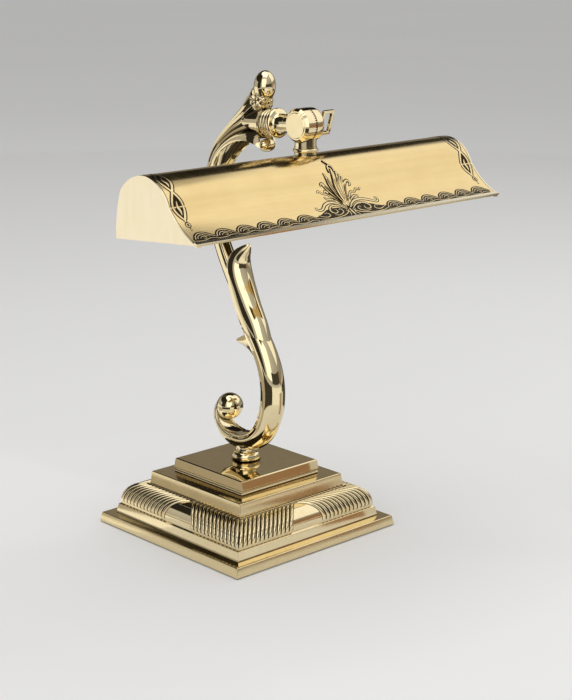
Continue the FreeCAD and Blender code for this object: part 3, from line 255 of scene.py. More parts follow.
surface_grain = build_grain_group()
GRAIN_DEPTH = 0.0002


def grain_on(tree, light, dark, rough, mottle, grain, relief, stretch=(1.0, 1.0, 1.0)):
    """Colour, roughness and normal of a material from the grain group."""
    group = put(tree, "ShaderNodeGroup", {
        "Light colour": tuple(light) + (1.0,), "Dark colour": tuple(dark) + (1.0,),
        "Mottle scale": mottle, "Grain scale": grain, "Grain stretch": stretch,
        "Least roughness": rough[0], "Most roughness": rough[1]}, node_tree=surface_grain)
    return (group.outputs["Colour"], group.outputs["Roughness"],
            bumped(tree, group.outputs["Height"], relief, GRAIN_DEPTH))


def grained(name, light, dark, rough, mottle, grain, relief, metallic=0.0, sheen=0.0):
    """A plain material whose colour, roughness and relief come from the grain group."""
    made, tree = new_material(name, light)
    colour, roughness, normal = grain_on(tree, light, dark, rough, mottle, grain, relief)
    finish_material(tree, {"Base Color": colour, "Metallic": metallic, "Roughness": roughness,
                           "Normal": normal, "Sheen Weight": sheen})
    return made


def dress(material, *nodes):
    """Give carried-over solids a finish."""
    for node in nodes:
        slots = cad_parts[node].material_slots
        for slot in slots:
            slot.material = material
        if not slots:
            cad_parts[node].data.materials.append(material)


pressed_felt = grained("pressed_felt", (0.035, 0.085, 0.055), (0.018, 0.05, 0.032), (0.9, 1.0),
                       900.0, 2600.0, 0.8, sheen=0.6)
zinc_steel = grained("zinc_steel", (0.60, 0.60, 0.58), (0.46, 0.46, 0.45), (0.28, 0.42),
                     120.0, 1500.0, 0.25, metallic=1.0)
cast_iron = grained("cast_iron", (0.10, 0.10, 0.105), (0.05, 0.05, 0.052), (0.55, 0.8),
                    90.0, 700.0, 0.9, metallic=0.6)
vulcan_fibre = grained("vulcan_fibre", (0.30, 0.075, 0.045), (0.20, 0.045, 0.03), (0.45, 0.6),
                       200.0, 1200.0, 0.4)
moulded_resin = grained("moulded_resin", (0.055, 0.045, 0.04), (0.03, 0.025, 0.022), (0.28, 0.4),
                        150.0, 1800.0, 0.2)
lead_sleeve = grained("lead_sleeve", (0.62, 0.55, 0.38), (0.5, 0.43, 0.28), (0.4, 0.55),
                      300.0, 2200.0, 0.3)
dress(pressed_felt, "felt_pad")
dress(zinc_steel, "bottom_cover", "cover_screws", "tie_tube", "tie_washer", "tie_nut",
      "cord_clamp_screws", "terminal_screws", "clamp_screw", "spring_washer",
      "lamp_bracket", "holder_nuts", "saddle_washer")
dress(cast_iron, "ballast_block")
dress(vulcan_fibre, "friction_washer", "cord_clamp")
dress(moulded_resin, "terminal_block", "lead_splice")
dress(lead_sleeve, "arm_lead", "shade_lead", "lamp_lead_left", "lamp_lead_right")


# ---------------- plinth
# The lowest tier is a cast brass ring with a leaning edge, filed, satined along its length
# and lacquered. Its mitred corners are eased by a fraction of a millimetre.
def build_patina_group():
    """Bright where corners are rubbed, and brown in hollows: patina where lacquer and polish gather,
    deepened by painted shade from the occlusion.
    """
    group, entry, leave = shader_group("rubbed_edges_and_hollow_shade", [
        ("Metal", COLOUR, WHITE), ("Rubbed", COLOUR, WHITE), ("Patina and shade", COLOUR, WHITE),
        ("Rubbing", FLOAT, 0.5), ("Hollow depth", FLOAT, 0.003), ("Hollow darkening", FLOAT, 0.7)],
        [("Colour", COLOUR)])
    pointed = put(group, "ShaderNodeNewGeometry").outputs["Pointiness"]
    corner = spread(group, pointed, 0.52, 0.6, 0.0, entry["Rubbing"])
    # Ambient occlusion darkens the hollows: painted shade, over the patina that gathers there.
    occlusion_shade = put(group, "ShaderNodeAmbientOcclusion", {"Distance": entry["Hollow depth"]},
                  samples=8, only_local=False)
    hollow = spread(group, occlusion_shade.outputs["AO"], 0.3, 0.92, entry["Hollow darkening"], 0.0)
    rubbed = blended(group, corner, entry["Metal"], entry["Rubbed"])
    group.links.new(blended(group, hollow, rubbed, entry["Patina and shade"]), leave["Colour"])
    return group


rubbed_edges_and_hollow_shade = build_patina_group()
# RUBBED is the colour of rubbed edges; the near-black brown goes into hollows as patina and painted shade.
RUBBED, PATINA_AND_SHADE, BRASS_MOTTLE = (0.95, 0.83, 0.55, 1.0), (0.055, 0.034, 0.014, 1.0), 35.0


def brass(name, light, dark, rough, grain=500.0, stretch=(1.0, 1.0, 1.0), relief=0.05,
          hollow_darkening=0.7, depth=0.003, rubbing=0.4, coat=0.12):
    """Lacquered brass: grain group for tone, patina group for rubbed edges and for hollows darkened by
    patina and painted shade.
    """
    made, tree = new_material(name, light)
    colour, roughness, normal = grain_on(tree, light, dark, rough, BRASS_MOTTLE, grain, relief, stretch)
    patina = put(tree, "ShaderNodeGroup", {
        "Metal": colour, "Rubbed": RUBBED, "Patina and shade": PATINA_AND_SHADE, "Rubbing": rubbing,
        "Hollow depth": depth, "Hollow darkening": hollow_darkening}, node_tree=rubbed_edges_and_hollow_shade)
    finish_material(tree, {"Base Color": patina.outputs["Colour"], "Metallic": 1.0,
                           "Roughness": roughness, "Normal": normal, "Coat Weight": coat,
                           "Coat Roughness": 0.06, "Coat IOR": 1.45})
    return made


satin_tier = brass("satin_tier_brass", (0.80, 0.66, 0.38), (0.73, 0.58, 0.31), (0.12, 0.17),
                   grain=250.0, stretch=(1.0, 1.0, 5.0), relief=0.02)


def circle_through(first, middle, last, steps):
    """Points on the arc from first, through middle, to last, without first."""
    (ax, ay), (bx, by), (cx, cy) = first, middle, last
    twice = 2 * (ax * (by - cy) + bx * (cy - ay) + cx * (ay - by))
    a2, b2, c2 = ax * ax + ay * ay, bx * bx + by * by, cx * cx + cy * cy
    x = (a2 * (by - cy) + b2 * (cy - ay) + c2 * (ay - by)) / twice
    y = (a2 * (cx - bx) + b2 * (ax - cx) + c2 * (bx - ax)) / twice
    radius = math.hypot(ax - x, ay - y)
    start = math.atan2(ay - y, ax - x)
    full = 2 * math.pi
    to_middle = (math.atan2(by - y, bx - x) - start) % full
    to_last = (math.atan2(cy - y, cx - x) - start) % full
    sweep = to_last if to_middle < to_last else to_last - full
    return [(x + radius * math.cos(start + sweep * k / steps),
             y + radius * math.sin(start + sweep * k / steps)) for k in range(1, steps + 1)]


def outline_of(items, steps):
    """Outline points; a plain item ends a line, a pair (middle, end) an arc."""
    points = [items[0]]
    for item in items[1:]:
        if isinstance(item[0], tuple):
            points += circle_through(points[-1], item[0], item[1], steps)
        else:
            points.append(item)
    return points


def plain_mesh(name, shape):
    """A mesh in metres from points in millimetres, with its faces turned outwards."""
    points, faces = shape
    mesh = bpy.data.meshes.new(name)
    mesh.from_pydata([Vector(p) * MM for p in points], [], faces)
    work = bmesh.new()
    work.from_mesh(mesh)
    bmesh.ops.recalc_face_normals(work, faces=work.faces)
    work.to_mesh(mesh)
    work.free()
    return mesh


def settle(made, body, crease):
    """Smooth shading but at sharp edges, and a body to ride on."""
    made.data.shade_smooth()
    made.data.set_sharp_from_angle(angle=math.radians(crease))
    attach(made, body)


def make_piece(name, shape, finish, body, *stands_for, slot="cast_brass", crease=30.0, ease=0.0):
    """A finished mesh piece from points in millimetres; ease rounds its sharp edges."""
    mesh = plain_mesh(name, shape)
    mesh.materials.append(finish)
    made = placed(name, mesh)
    if ease:
        bevel = made.modifiers.new("eased_edges", "BEVEL")
        bevel.width, bevel.segments, bevel.limit_method = ease * MM, 2, "ANGLE"
        bevel.angle_limit, bevel.harden_normals = math.radians(crease), True
    settle(made, body, crease)
    if stands_for:
        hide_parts(*stands_for)


def mitred(outline, longer=0.0):
    """Four straight sides with one closed outline (half width, height), mitred at the corners."""
    points, faces, count = [], [], len(outline)
    for half, height in outline:
        points += [(x * half, y * (half + longer), height)
                   for x, y in ((1, 1), (-1, 1), (-1, -1), (1, -1))]
    for i in range(count):
        j = (i + 1) % count
        for k in range(4):
            m = (k + 1) % 4
            faces.append((4 * i + k, 4 * i + m, 4 * j + m, 4 * j + k))
    return points, faces


def loft(rings):
    """A closed solid through rings of equal length, with flat ends."""
    ring = len(rings[0])
    points = [p for r in rings for p in r]
    faces = []
    for i in range(len(rings) - 1):
        for k in range(ring):
            m = (k + 1) % ring
            faces.append((i * ring + k, i * ring + m, (i + 1) * ring + m, (i + 1) * ring + k))
    faces += [tuple(range(ring)), tuple(range(len(points) - ring, len(points)))]
    return points, faces


def neighbours(rows, i):
    """The rows before and after one, or that row itself at an end."""
    return rows[max(i - 1, 0)], rows[min(i + 1, len(rows) - 1)]


EDGE_ROUND, EDGE_SAG, EDGE_LEAN = 0.8, 0.3, 0.1


def tier_side(half, foot, height, batter):
    """Outside of a leaning tier with a rounded upper edge, foot to head."""
    head = foot + height
    return [(half, foot), (half - batter + EDGE_LEAN, head - EDGE_ROUND),
            ((half - batter - EDGE_SAG * EDGE_ROUND, head - EDGE_SAG * EDGE_ROUND),
             (half - batter - EDGE_ROUND, head))]


PLINTH_FOOT, PLINTH_HEIGHT, PLINTH_HALF, PLINTH_BATTER, PLINTH_RING = 0.8, 8.6, 95.0, 1.6, 17.0
PLINTH_HEAD = PLINTH_FOOT + PLINTH_HEIGHT
COVER_SEAT, COVER_REBATE = 3.1, 6.5
inside = PLINTH_HALF - PLINTH_RING
outline = outline_of(tier_side(PLINTH_HALF, PLINTH_FOOT, PLINTH_HEIGHT, PLINTH_BATTER), 4)
outline += [(inside, PLINTH_HEAD), (inside, COVER_SEAT), (PLINTH_HALF - COVER_REBATE, COVER_SEAT),
            (PLINTH_HALF - COVER_REBATE, PLINTH_FOOT)]
make_piece("plinth_ring", mitred(outline), satin_tier, "stand", "base_plinth", ease=0.35)


# ---------------- reeded moulding
# The second tier is a pressed moulding: a flat band, a quirk, a bold quarter round and a
# fillet. Slanting reeds cover the quarter round, apart from an arched panel on each side.
MOULDING_HALF, BAND_HEIGHT, BAND_BATTER = 84.1, 8.3, 1.5
OVOLO_FOOT_HALF, OVOLO_HEAD_HALF, OVOLO_FOOT, OVOLO_HEIGHT, OVOLO_BULGE = 80.9, 64.7, 11.1, 15.8, 5.2
FILLET_HALF, FILLET_HEIGHT, MOULDING_WALL = 63.0, 1.2, 3.5
OVOLO_STEPS, QUIRK_RISE, TIE_BORE, HOLLOW_CUT = 14, 0.8, 5.0, 2.0
reed_tier = brass("reeded_brass", (0.88, 0.75, 0.47), (0.82, 0.67, 0.39), (0.06, 0.1),
                  grain=300.0, relief=0.02, hollow_darkening=0.9, depth=0.002)
band_head = PLINTH_HEAD + BAND_HEIGHT
ovolo_foot, ovolo_head = PLINTH_HEAD + OVOLO_FOOT, PLINTH_HEAD + OVOLO_FOOT + OVOLO_HEIGHT
MOULDING_HEAD = ovolo_head + FILLET_HEIGHT
run = OVOLO_FOOT_HALF - OVOLO_HEAD_HALF
chord = math.hypot(run, OVOLO_HEIGHT)
ovolo_middle = ((OVOLO_FOOT_HALF + OVOLO_HEAD_HALF) / 2 + OVOLO_BULGE * OVOLO_HEIGHT / chord,
                (ovolo_foot + ovolo_head) / 2 + OVOLO_BULGE * run / chord)
ovolo = circle_through((OVOLO_FOOT_HALF, ovolo_foot), ovolo_middle, (OVOLO_HEAD_HALF, ovolo_head),
                       OVOLO_STEPS)
hollow = MOULDING_HALF - MOULDING_WALL - BAND_BATTER
head_hollow = OVOLO_HEAD_HALF - MOULDING_WALL
under = MOULDING_HEAD - MOULDING_WALL
outline = [(MOULDING_HALF, PLINTH_HEAD), (MOULDING_HALF - BAND_BATTER, band_head),
           (OVOLO_FOOT_HALF, band_head + QUIRK_RISE), (OVOLO_FOOT_HALF, ovolo_foot)] + ovolo
outline += [(FILLET_HALF, ovolo_head), (FILLET_HALF, MOULDING_HEAD), (TIE_BORE, MOULDING_HEAD),
            (TIE_BORE, under), (head_hollow - HOLLOW_CUT, under), (head_hollow, under - HOLLOW_CUT),
            (hollow, ovolo_foot - HOLLOW_CUT), (hollow, PLINTH_HEAD)]
make_piece("quarter_round_tier", mitred(outline), reed_tier, "stand", "base_moulding", ease=0.3)

REEDS, PANEL_HALF = 13, 17.5
reed_pitch = (OVOLO_FOOT_HALF - PANEL_HALF) / REEDS
REED_HALF, REED_RISE, GROOVE_HALF, GROOVE_RISE = 0.37 * reed_pitch, 1.5, 0.5 * reed_pitch, 0.12
# A reed's height as a share: at its foot and per step from there, and the same at its head
REED_TOE, REED_TIP, REED_ROOT, REED_SIDES = (0.55, 0.3), (0.7, 0.15), 0.8, 6


def reed_shape(half_width, rise):
    """One bar on the +Y side that climbs the quarter round at 45 degrees: a reed or its ground."""
    spine = [(OVOLO_FOOT_HALF, ovolo_foot)] + ovolo
    rings = []
    for i, (half, level) in enumerate(spine):
        before, after = neighbours(spine, i)
        out = Vector((0, after[1] - before[1], before[0] - after[0])).normalized()
        inward = OVOLO_FOOT_HALF - half
        share = min(1.0, REED_TOE[0] + i * REED_TOE[1], REED_TIP[0] + (len(spine) - 1 - i) * REED_TIP[1])
        ring = []
        for k in range(REED_SIDES + 1):
            turn = math.pi * k / REED_SIDES
            lift = rise * share * math.sin(turn)
            ring.append(Vector((-inward + half_width * math.cos(turn), half, level)) + out * lift)
        ring.append(Vector((-inward, half, level)) - out * REED_ROOT)
        rings.append(ring)
    return loft(rings)


INTEGER, MATERIAL = "NodeSocketInt", "NodeSocketMaterial"


def geometry_tree(name, sizes):
    """A geometry node tree with one mesh in and out, named sizes (label, kind, value) and a finish."""
    tree = bpy.data.node_groups.new(name, "GeometryNodeTree")
    tree.interface.new_socket("Geometry", in_out="INPUT", socket_type="NodeSocketGeometry")
    for label, kind, value in sizes + [("Finish", MATERIAL, None)]:
        tree.interface.new_socket(label, in_out="INPUT", socket_type=kind).default_value = value
    tree.interface.new_socket("Geometry", in_out="OUTPUT", socket_type="NodeSocketGeometry")
    return tree, tree.nodes.new("NodeGroupInput").outputs, tree.nodes.new("NodeGroupOutput").inputs


def row_of(tree, entry, count, pitch, start):
    """The tree's mesh repeated along a line; count, pitch and start are labels of its sizes."""
    line = put(tree, "GeometryNodeMeshLine", {
        "Count": entry[count], "Start Location": entry[start], "Offset": entry[pitch]}, mode="OFFSET")
    return put(tree, "GeometryNodeInstanceOnPoints", {
        "Points": line.outputs["Mesh"], "Instance": entry["Geometry"]}).outputs["Instances"]


def gathered(tree, *parts):
    """Several geometries as one."""
    whole = put(tree, "GeometryNodeJoinGeometry")
    for part in parts:
        tree.links.new(part, whole.inputs[0])
    return whole.outputs["Geometry"]


def real_mesh(tree, geometry):
    """Copies turned into a mesh of their own."""
    return put(tree, "GeometryNodeRealizeInstances", {"Geometry": geometry}).outputs["Geometry"]


def close_tree(tree, entry, leave, geometry):
    """Make what has grown real, give it its finish and pass it out."""
    dyed = put(tree, "GeometryNodeSetMaterial", {"Geometry": real_mesh(tree, geometry),
                                                 "Material": entry["Finish"]})
    tree.links.new(dyed.outputs["Geometry"], leave["Geometry"])
    return tree


def build_reed_tree():
    """Rows of reeds: half a side, its mirror image, and the four sides of the tier."""
    tree, entry, leave = geometry_tree("reeds_round_the_tier", [
        ("Reeds", INTEGER, 1), ("Pitch", VECTOR, (0, 0, 0)), ("First", VECTOR, (0, 0, 0))])
    half = real_mesh(tree, row_of(tree, entry, "Reeds", "Pitch", "First"))
    other = put(tree, "GeometryNodeTransform", {"Geometry": half, "Scale": (-1.0, 1.0, 1.0)})
    flipped = put(tree, "GeometryNodeFlipFaces", {"Mesh": other.outputs["Geometry"]})
    side = gathered(tree, half, flipped.outputs["Mesh"])
    sides = [put(tree, "GeometryNodeTransform", {
        "Geometry": side, "Rotation": (0, 0, quarter * math.pi / 2)}).outputs["Geometry"]
        for quarter in range(4)]
    return close_tree(tree, entry, leave, gathered(tree, *sides))


def grown(name, shape, tree, sizes, finish, body, crease=40.0):
    """A piece that a geometry node tree makes out of one mesh, turned into a plain mesh."""
    made = placed(name, plain_mesh(name + "_seed", shape))
    growth = made.modifiers.new("growth", "NODES")
    growth.node_group = tree
    labels = {item.name: item.identifier for item in tree.interface.items_tree
              if item.in_out == "INPUT"}
    for label, value in dict(sizes, Finish=finish).items():
        growth[labels[label]] = value
    bpy.context.view_layer.update()
    ready = made.evaluated_get(bpy.context.evaluated_depsgraph_get())
    mesh = bpy.data.meshes.new_from_object(ready)
    made.modifiers.clear()
    made.data = mesh
    settle(made, body, crease)


first_reed = OVOLO_FOOT_HALF - reed_pitch / 2
reed_sizes = {"Reeds": REEDS, "Pitch": (-reed_pitch * MM, 0, 0), "First": (first_reed * MM, 0, 0)}
reed_tree = build_reed_tree()
# Black for the chased lines and the seam notches, and painted shade in the reed grooves.
blackening_and_groove_shade = brass("blackened_line_and_groove_shade", (0.04, 0.026, 0.012), (0.02, 0.013, 0.006), (0.3, 0.42),
                   grain=900.0, relief=0.1, hollow_darkening=0.9, depth=0.001, rubbing=0.0, coat=0.0)
grown("moulding_reeds", reed_shape(REED_HALF, REED_RISE), reed_tree, reed_sizes, reed_tier, "stand")
# A dark ground under the reeds: painted shade in the grooves between them, with some patina.
grown("moulding_reed_groove_shade", reed_shape(GROOVE_HALF, GROOVE_RISE), reed_tree, reed_sizes,
      blackening_and_groove_shade, "stand")


# ---------------- step block and top plate
# Two more cast tiers stand on the moulding. The upper one is a plate with a small bead round
# its foot and a polished top.
plate_brass = brass("plate_brass", (0.80, 0.67, 0.40), (0.74, 0.60, 0.34), (0.025, 0.045),
                    grain=180.0, relief=0.004, hollow_darkening=0.8, depth=0.0025)
BLOCK_HALF, BLOCK_HEIGHT, BLOCK_BATTER, BLOCK_WALL = 61.8, 11.8, 1.3, 3.0
PLATE_HALF, PLATE_HEIGHT, PLATE_BATTER, PLATE_LIP, PLATE_WALL = 46.3, 12.7, 1.1, 2.6, 3.5
BLOCK_HEAD = MOULDING_HEAD + BLOCK_HEIGHT
PLATE_HEAD = BLOCK_HEAD + PLATE_HEIGHT
inside = BLOCK_HALF - BLOCK_BATTER - BLOCK_WALL
outline = outline_of(tier_side(BLOCK_HALF, MOULDING_HEAD, BLOCK_HEIGHT, BLOCK_BATTER), 4)
outline += [(TIE_BORE, BLOCK_HEAD), (TIE_BORE, BLOCK_HEAD - BLOCK_WALL),
            (inside, BLOCK_HEAD - BLOCK_WALL), (inside, MOULDING_HEAD)]
make_piece("step_tier", mitred(outline), satin_tier, "stand", "base_step_block", ease=0.35)

PLATE_BEAD, PLATE_NECK, PLATE_COVE = 1.0, 1.3, (0.6, 1.2, 1.8)
plate_lip, plate_neck, edge = BLOCK_HEAD + PLATE_LIP, PLATE_HALF - PLATE_NECK, PLATE_HALF - PLATE_BATTER
inside, rim = plate_neck - PLATE_WALL, PLATE_HALF - PLATE_BEAD
outline = outline_of([(rim, BLOCK_HEAD),
                      ((PLATE_HALF, BLOCK_HEAD + PLATE_BEAD), (rim, plate_lip - PLATE_COVE[0])),
                      (plate_neck, plate_lip), (plate_neck, plate_lip + PLATE_COVE[1]),
                      (PLATE_HALF, plate_lip + PLATE_COVE[2]), (edge + EDGE_LEAN, PLATE_HEAD - EDGE_ROUND),
                      (edge - EDGE_ROUND, PLATE_HEAD)], 6)
outline += [(TIE_BORE, PLATE_HEAD), (TIE_BORE, PLATE_HEAD - PLATE_WALL),
            (inside, PLATE_HEAD - PLATE_WALL), (inside, BLOCK_HEAD)]
make_piece("plate_tier", mitred(outline), plate_brass, "stand", "base_top_plate", ease=0.3)


# ---------------- cord inlet
# A turned brass bush with a flange passes through the back of the band, held by a nut
# inside. A cord would enter here, and is gripped by a fibre saddle on the cover.
turned_brass = brass("turned_brass", (0.86, 0.70, 0.40), (0.72, 0.55, 0.27), (0.14, 0.24),
                     grain=900.0, relief=0.06)
dress(turned_brass, "inlet_bush", "inlet_nut", "earth_terminal", "shade_nipple", "nipple_nut")


# ---------------- collar
# A short turned brass collar with one bold bead carries the stem; the tie tube inside
# it clamps stem, collar and tiers together. It is polished to a mirror.
mirror_brass = brass("mirror_brass", (0.90, 0.78, 0.50), (0.85, 0.71, 0.42), (0.03, 0.06),
                     grain=120.0, relief=0.008, hollow_darkening=0.85, depth=0.0025, rubbing=0.25)


def round_turns(steps):
    """Angles that go once round, without the last."""
    return [2 * math.pi * k / steps for k in range(steps)]


def turned(outline, foot=(0, 0, 0), axis=(0, 0, 1), steps=64):
    """A lathe-turned solid: outline points are (radius, distance along the axis)."""
    along = Vector(axis).normalized()
    side = along.orthogonal().normalized()
    other = along.cross(side)
    points, faces, rings = [], [], []
    for radius, distance in outline:
        middle = Vector(foot) + along * distance
        if radius < 1e-6:
            rings.append([len(points)] * steps)
            points.append(middle)
            continue
        rings.append(list(range(len(points), len(points) + steps)))
        points += [middle + (side * math.cos(a) + other * math.sin(a)) * radius
                   for a in round_turns(steps)]
    for low, high in zip(rings, rings[1:]):
        for k in range(steps):
            m = (k + 1) % steps
            corners = (low[k], low[m], high[m], high[k])
            faces.append(tuple(c for i, c in enumerate(corners) if c not in corners[:i]))
    return points, [f for f in faces if len(f) > 2]


COLLAR_HEIGHT, COLLAR_RADIUS, COLLAR_NECK, BEAD_FOOT_IN, BEAD_HEAD_IN = 9.2, 13.2, 9.4, 2.0, 2.4
STEM_FOOT = PLATE_HEAD + COLLAR_HEIGHT
bead_middle, bead_head, neck_foot = (PLATE_HEAD + share * COLLAR_HEIGHT for share in (0.48, 0.86, 0.9))
outline = outline_of([(0, PLATE_HEAD), (COLLAR_RADIUS - BEAD_FOOT_IN, PLATE_HEAD),
                      ((COLLAR_RADIUS, bead_middle), (COLLAR_RADIUS - BEAD_HEAD_IN, bead_head)),
                      (COLLAR_NECK, neck_foot), (COLLAR_NECK, STEM_FOOT), (0, STEM_FOOT)], 14)
make_piece("stem_collar_turned", turned(outline), mirror_brass, "stand", "stem_collar", ease=0.25)


# ---------------- scroll stem
# The stem is one hollow brass casting of two strands. The lower one scrolls up from the
# collar, flat and lined with two small mouldings inside, half round outside; the upper one
# is a channel that climbs out from behind a lily leaf. Both are polished to a mirror.
def smooth_run(rows, steps):
    """Rows of numbers joined by one smooth curve; steps new rows for each given one."""
    count, width = len(rows), len(rows[0])
    at = [0.0]
    for a, b in zip(rows, rows[1:]):
        at.append(at[-1] + max(math.hypot(b[0] - a[0], b[1] - a[1]), 1e-6))
    bends = []
    for c in range(width):
        upper, value = [0.0] * count, [0.0] * count
        for i in range(1, count - 1):
            h0, h1 = at[i] - at[i - 1], at[i + 1] - at[i]
            pull = 6 * ((rows[i + 1][c] - rows[i][c]) / h1 - (rows[i][c] - rows[i - 1][c]) / h0)
            under = 2 * (h0 + h1) - h0 * upper[i - 1]
            upper[i], value[i] = h1 / under, (pull - h0 * value[i - 1]) / under
        bend = [0.0] * count
        for i in range(count - 2, 0, -1):
            bend[i] = value[i] - upper[i] * bend[i + 1]
        bends.append(bend)
    out = []
    for i in range(count - 1):
        h = at[i + 1] - at[i]
        for k in range(steps + (i == count - 2)):
            b = k / steps
            a = 1 - b
            out.append(tuple(
                a * rows[i][c] + b * rows[i + 1][c]
                + ((a ** 3 - a) * bends[c][i] + (b ** 3 - b) * bends[c][i + 1]) * h * h / 6
                for c in range(width)))
    return out


def heading(rows, i):
    """Direction of a smooth curve of (y, z, ...) rows at one of them."""
    before, after = neighbours(rows, i)
    return Vector((0, after[0] - before[0], after[1] - before[1])).normalized()


def joined(*shapes):
    """Several closed solids as one shape."""
    points, faces = [], []
    for more, sides in shapes:
        base = len(points)
        points += list(more)
        faces += [tuple(base + i for i in side) for side in sides]
    return points, faces


LOWER_STATIONS = ((32, 41.5, 3.6, 3.4), (36, 30, 6.4, 6.8), (29.5, 15, 8.6, 11), (14, 7.6, 9.8, 14),
    (-4.5, 8, 10.5, 15.6), (-21, 15.8, 11, 16), (-33, 32, 11, 16), (-38.8, 57, 11, 15.6),
    (-35, 82, 11, 15), (-23, 104, 10.6, 15), (-8, 124, 9.8, 14), (7, 144, 5.4, 8.8))
UPPER_STATIONS = ((-8, 124, 9, 13.2), (7, 144, 8.6, 13.2), (21.5, 165, 7.4, 13), (33.5, 188, 6.6, 13),
    (39.5, 214, 6.9, 13.2), (40.5, 240, 9, 13.4))
STEM_SIDE, FULL_THICKNESS, BOW_CLEAR = 0.30, 14.0, 0.25
# Half sections from the middle of the flat to its edge: (offset from the edge, depth); an offset
# of -99 is the middle itself, wherever the edge lies
LINED_FACE = ((-99, 1.1), (-3.6, 1), (-2.6, 0.45), (-1.9, 0.05), (-0.9, 0), (-0.2, 0.35), (0.05, 1),
    (-0.15, 1.6), (-0.85, 2.05), (-0.2, 2.5), (0.1, 3.1), (-0.15, 3.7), (-0.6, 4.1))
CHANNEL_FACE = ((-99, 3.1), (-4.6, 2.9), (-3, 2.1), (-2.1, 0.8), (-1.5, 0.05), (-0.6, 0), (0, 0.7))


def stem_point(y, height):
    return Vector((0, y, STEM_FOOT + height))


def strand_rings(stations, facing, face, steps=8, bow=14):
    """Sections of a strand; facing 1 has its flat face at +Y, and face is its half section."""
    rows = smooth_run(stations, steps)
    rings = []
    for i, (y, height, half, thickness) in enumerate(rows):
        tangent = heading(rows, i)
        out = Vector((0, -tangent.z, tangent.y)) * facing
        flat = stem_point(y, height) - out * (thickness / 2)
        size = min(1.0, thickness / FULL_THICKNESS)
        side = [(max(half + offset * size, 0.0) if offset > -50 else 0.0, depth * size)
                for offset, depth in face]
        shoulder = thickness * STEM_SIDE
        for k in range(bow + 1):
            turn = math.pi / 2 * k / bow
            depth = shoulder + (thickness - shoulder) * math.sin(turn)
            if depth > side[len(face) - 1][1] + BOW_CLEAR:
                side.append((half * math.cos(turn), depth))
        whole = [(-a, o) for a, o in reversed(side[1:-1])] + side
        rings.append([flat + Vector((a, 0, 0)) + out * o for a, o in whole])
    return rings


def even(rings):
    """Rings cut down to the shortest, so that they can be joined."""
    least = min(len(r) for r in rings)
    return [r if len(r) == least else resampled(r, least) for r in rings]


def resampled(ring, count):
    at = [0.0]
    closed = ring + [ring[0]]
    for a, b in zip(closed, closed[1:]):
        at.append(at[-1] + (b - a).length)
    out, j = [], 0
    for k in range(count):
        want = at[-1] * k / count
        while at[j + 1] < want:
            j += 1
        share = (want - at[j]) / max(at[j + 1] - at[j], 1e-9)
        out.append(closed[j].lerp(closed[j + 1], share))
    return out


STEM_FOOT_RADIUS, STEM_FOOT_EDGE, STEM_FOOT_TAPER, STEM_FOOT_HEIGHT = 9.4, 1.2, 0.8, 4.5
lower = loft(even(strand_rings(LOWER_STATIONS, 1, LINED_FACE)))
foot = turned([(0, STEM_FOOT), (STEM_FOOT_RADIUS, STEM_FOOT),
               (STEM_FOOT_RADIUS, STEM_FOOT + STEM_FOOT_EDGE),
               (STEM_FOOT_RADIUS - STEM_FOOT_TAPER, STEM_FOOT + STEM_FOOT_HEIGHT),
               (0, STEM_FOOT + STEM_FOOT_HEIGHT)])
make_piece("lower_scroll", joined(lower, foot), mirror_brass, "stand", "scroll_stem", crease=50)
upper = loft(even(strand_rings(UPPER_STATIONS, -1, CHANNEL_FACE)))
make_piece("upper_strand", upper, mirror_brass, "stand", "scroll_stem", crease=50)

BALL_RADIUS, BALL_CENTRE = 12.0, (21.5, 36.0)


def spindle(centre, radius, half_length, axis, steps=24):
    """An oval turned solid; a ball when its half length equals its radius."""
    outline = [(radius * math.sin(math.pi * k / steps), -half_length * math.cos(math.pi * k / steps))
               for k in range(steps + 1)]
    outline[0], outline[-1] = (0, -half_length), (0, half_length)
    return turned(outline, centre, axis, 48)


make_piece("scroll_end_ball", spindle(stem_point(*BALL_CENTRE), BALL_RADIUS, BALL_RADIUS, (1, 0, 0)),
           mirror_brass, "stand", "scroll_ball", crease=60)


# ---------------- lily leaf and spur
# The lower strand opens into a hollow lily leaf that curls forward at its tip, and a small
# hollow spur stands on the inside of the scroll. Both have a rounded rim.
LEAF_STATIONS = ((-28, 90, -34, 97, 7.5), (-21, 100, -30, 108, 9.5), (-13.5, 111, -25.5, 119.5, 11),
    (-3.5, 126, -18, 132.7, 12), (4.5, 143, -11, 146.3, 12.6), (9.5, 160, -4.6, 160.6, 12.8),
    (10, 174, -2.2, 173, 11.2), (3, 184, -5.2, 181, 7), (-4, 188, -7, 186, 2.6))
SPUR_STATIONS = ((-32, 86, -33.5, 62, 9.2), (-18, 102, -20.8, 82, 8.4), (-9.5, 107.5, -10.5, 91, 6.8),
    (-1, 105.5, -1.5, 95.6, 5.2), (8, 100.8, 7, 97.2, 3.6))
LEAF_WALL, SPUR_WALL = 3.2, 2.4
SIDE_THINNER, LIP_ROUND, PLAIN_RIM = 1.6, 0.35, 0.6


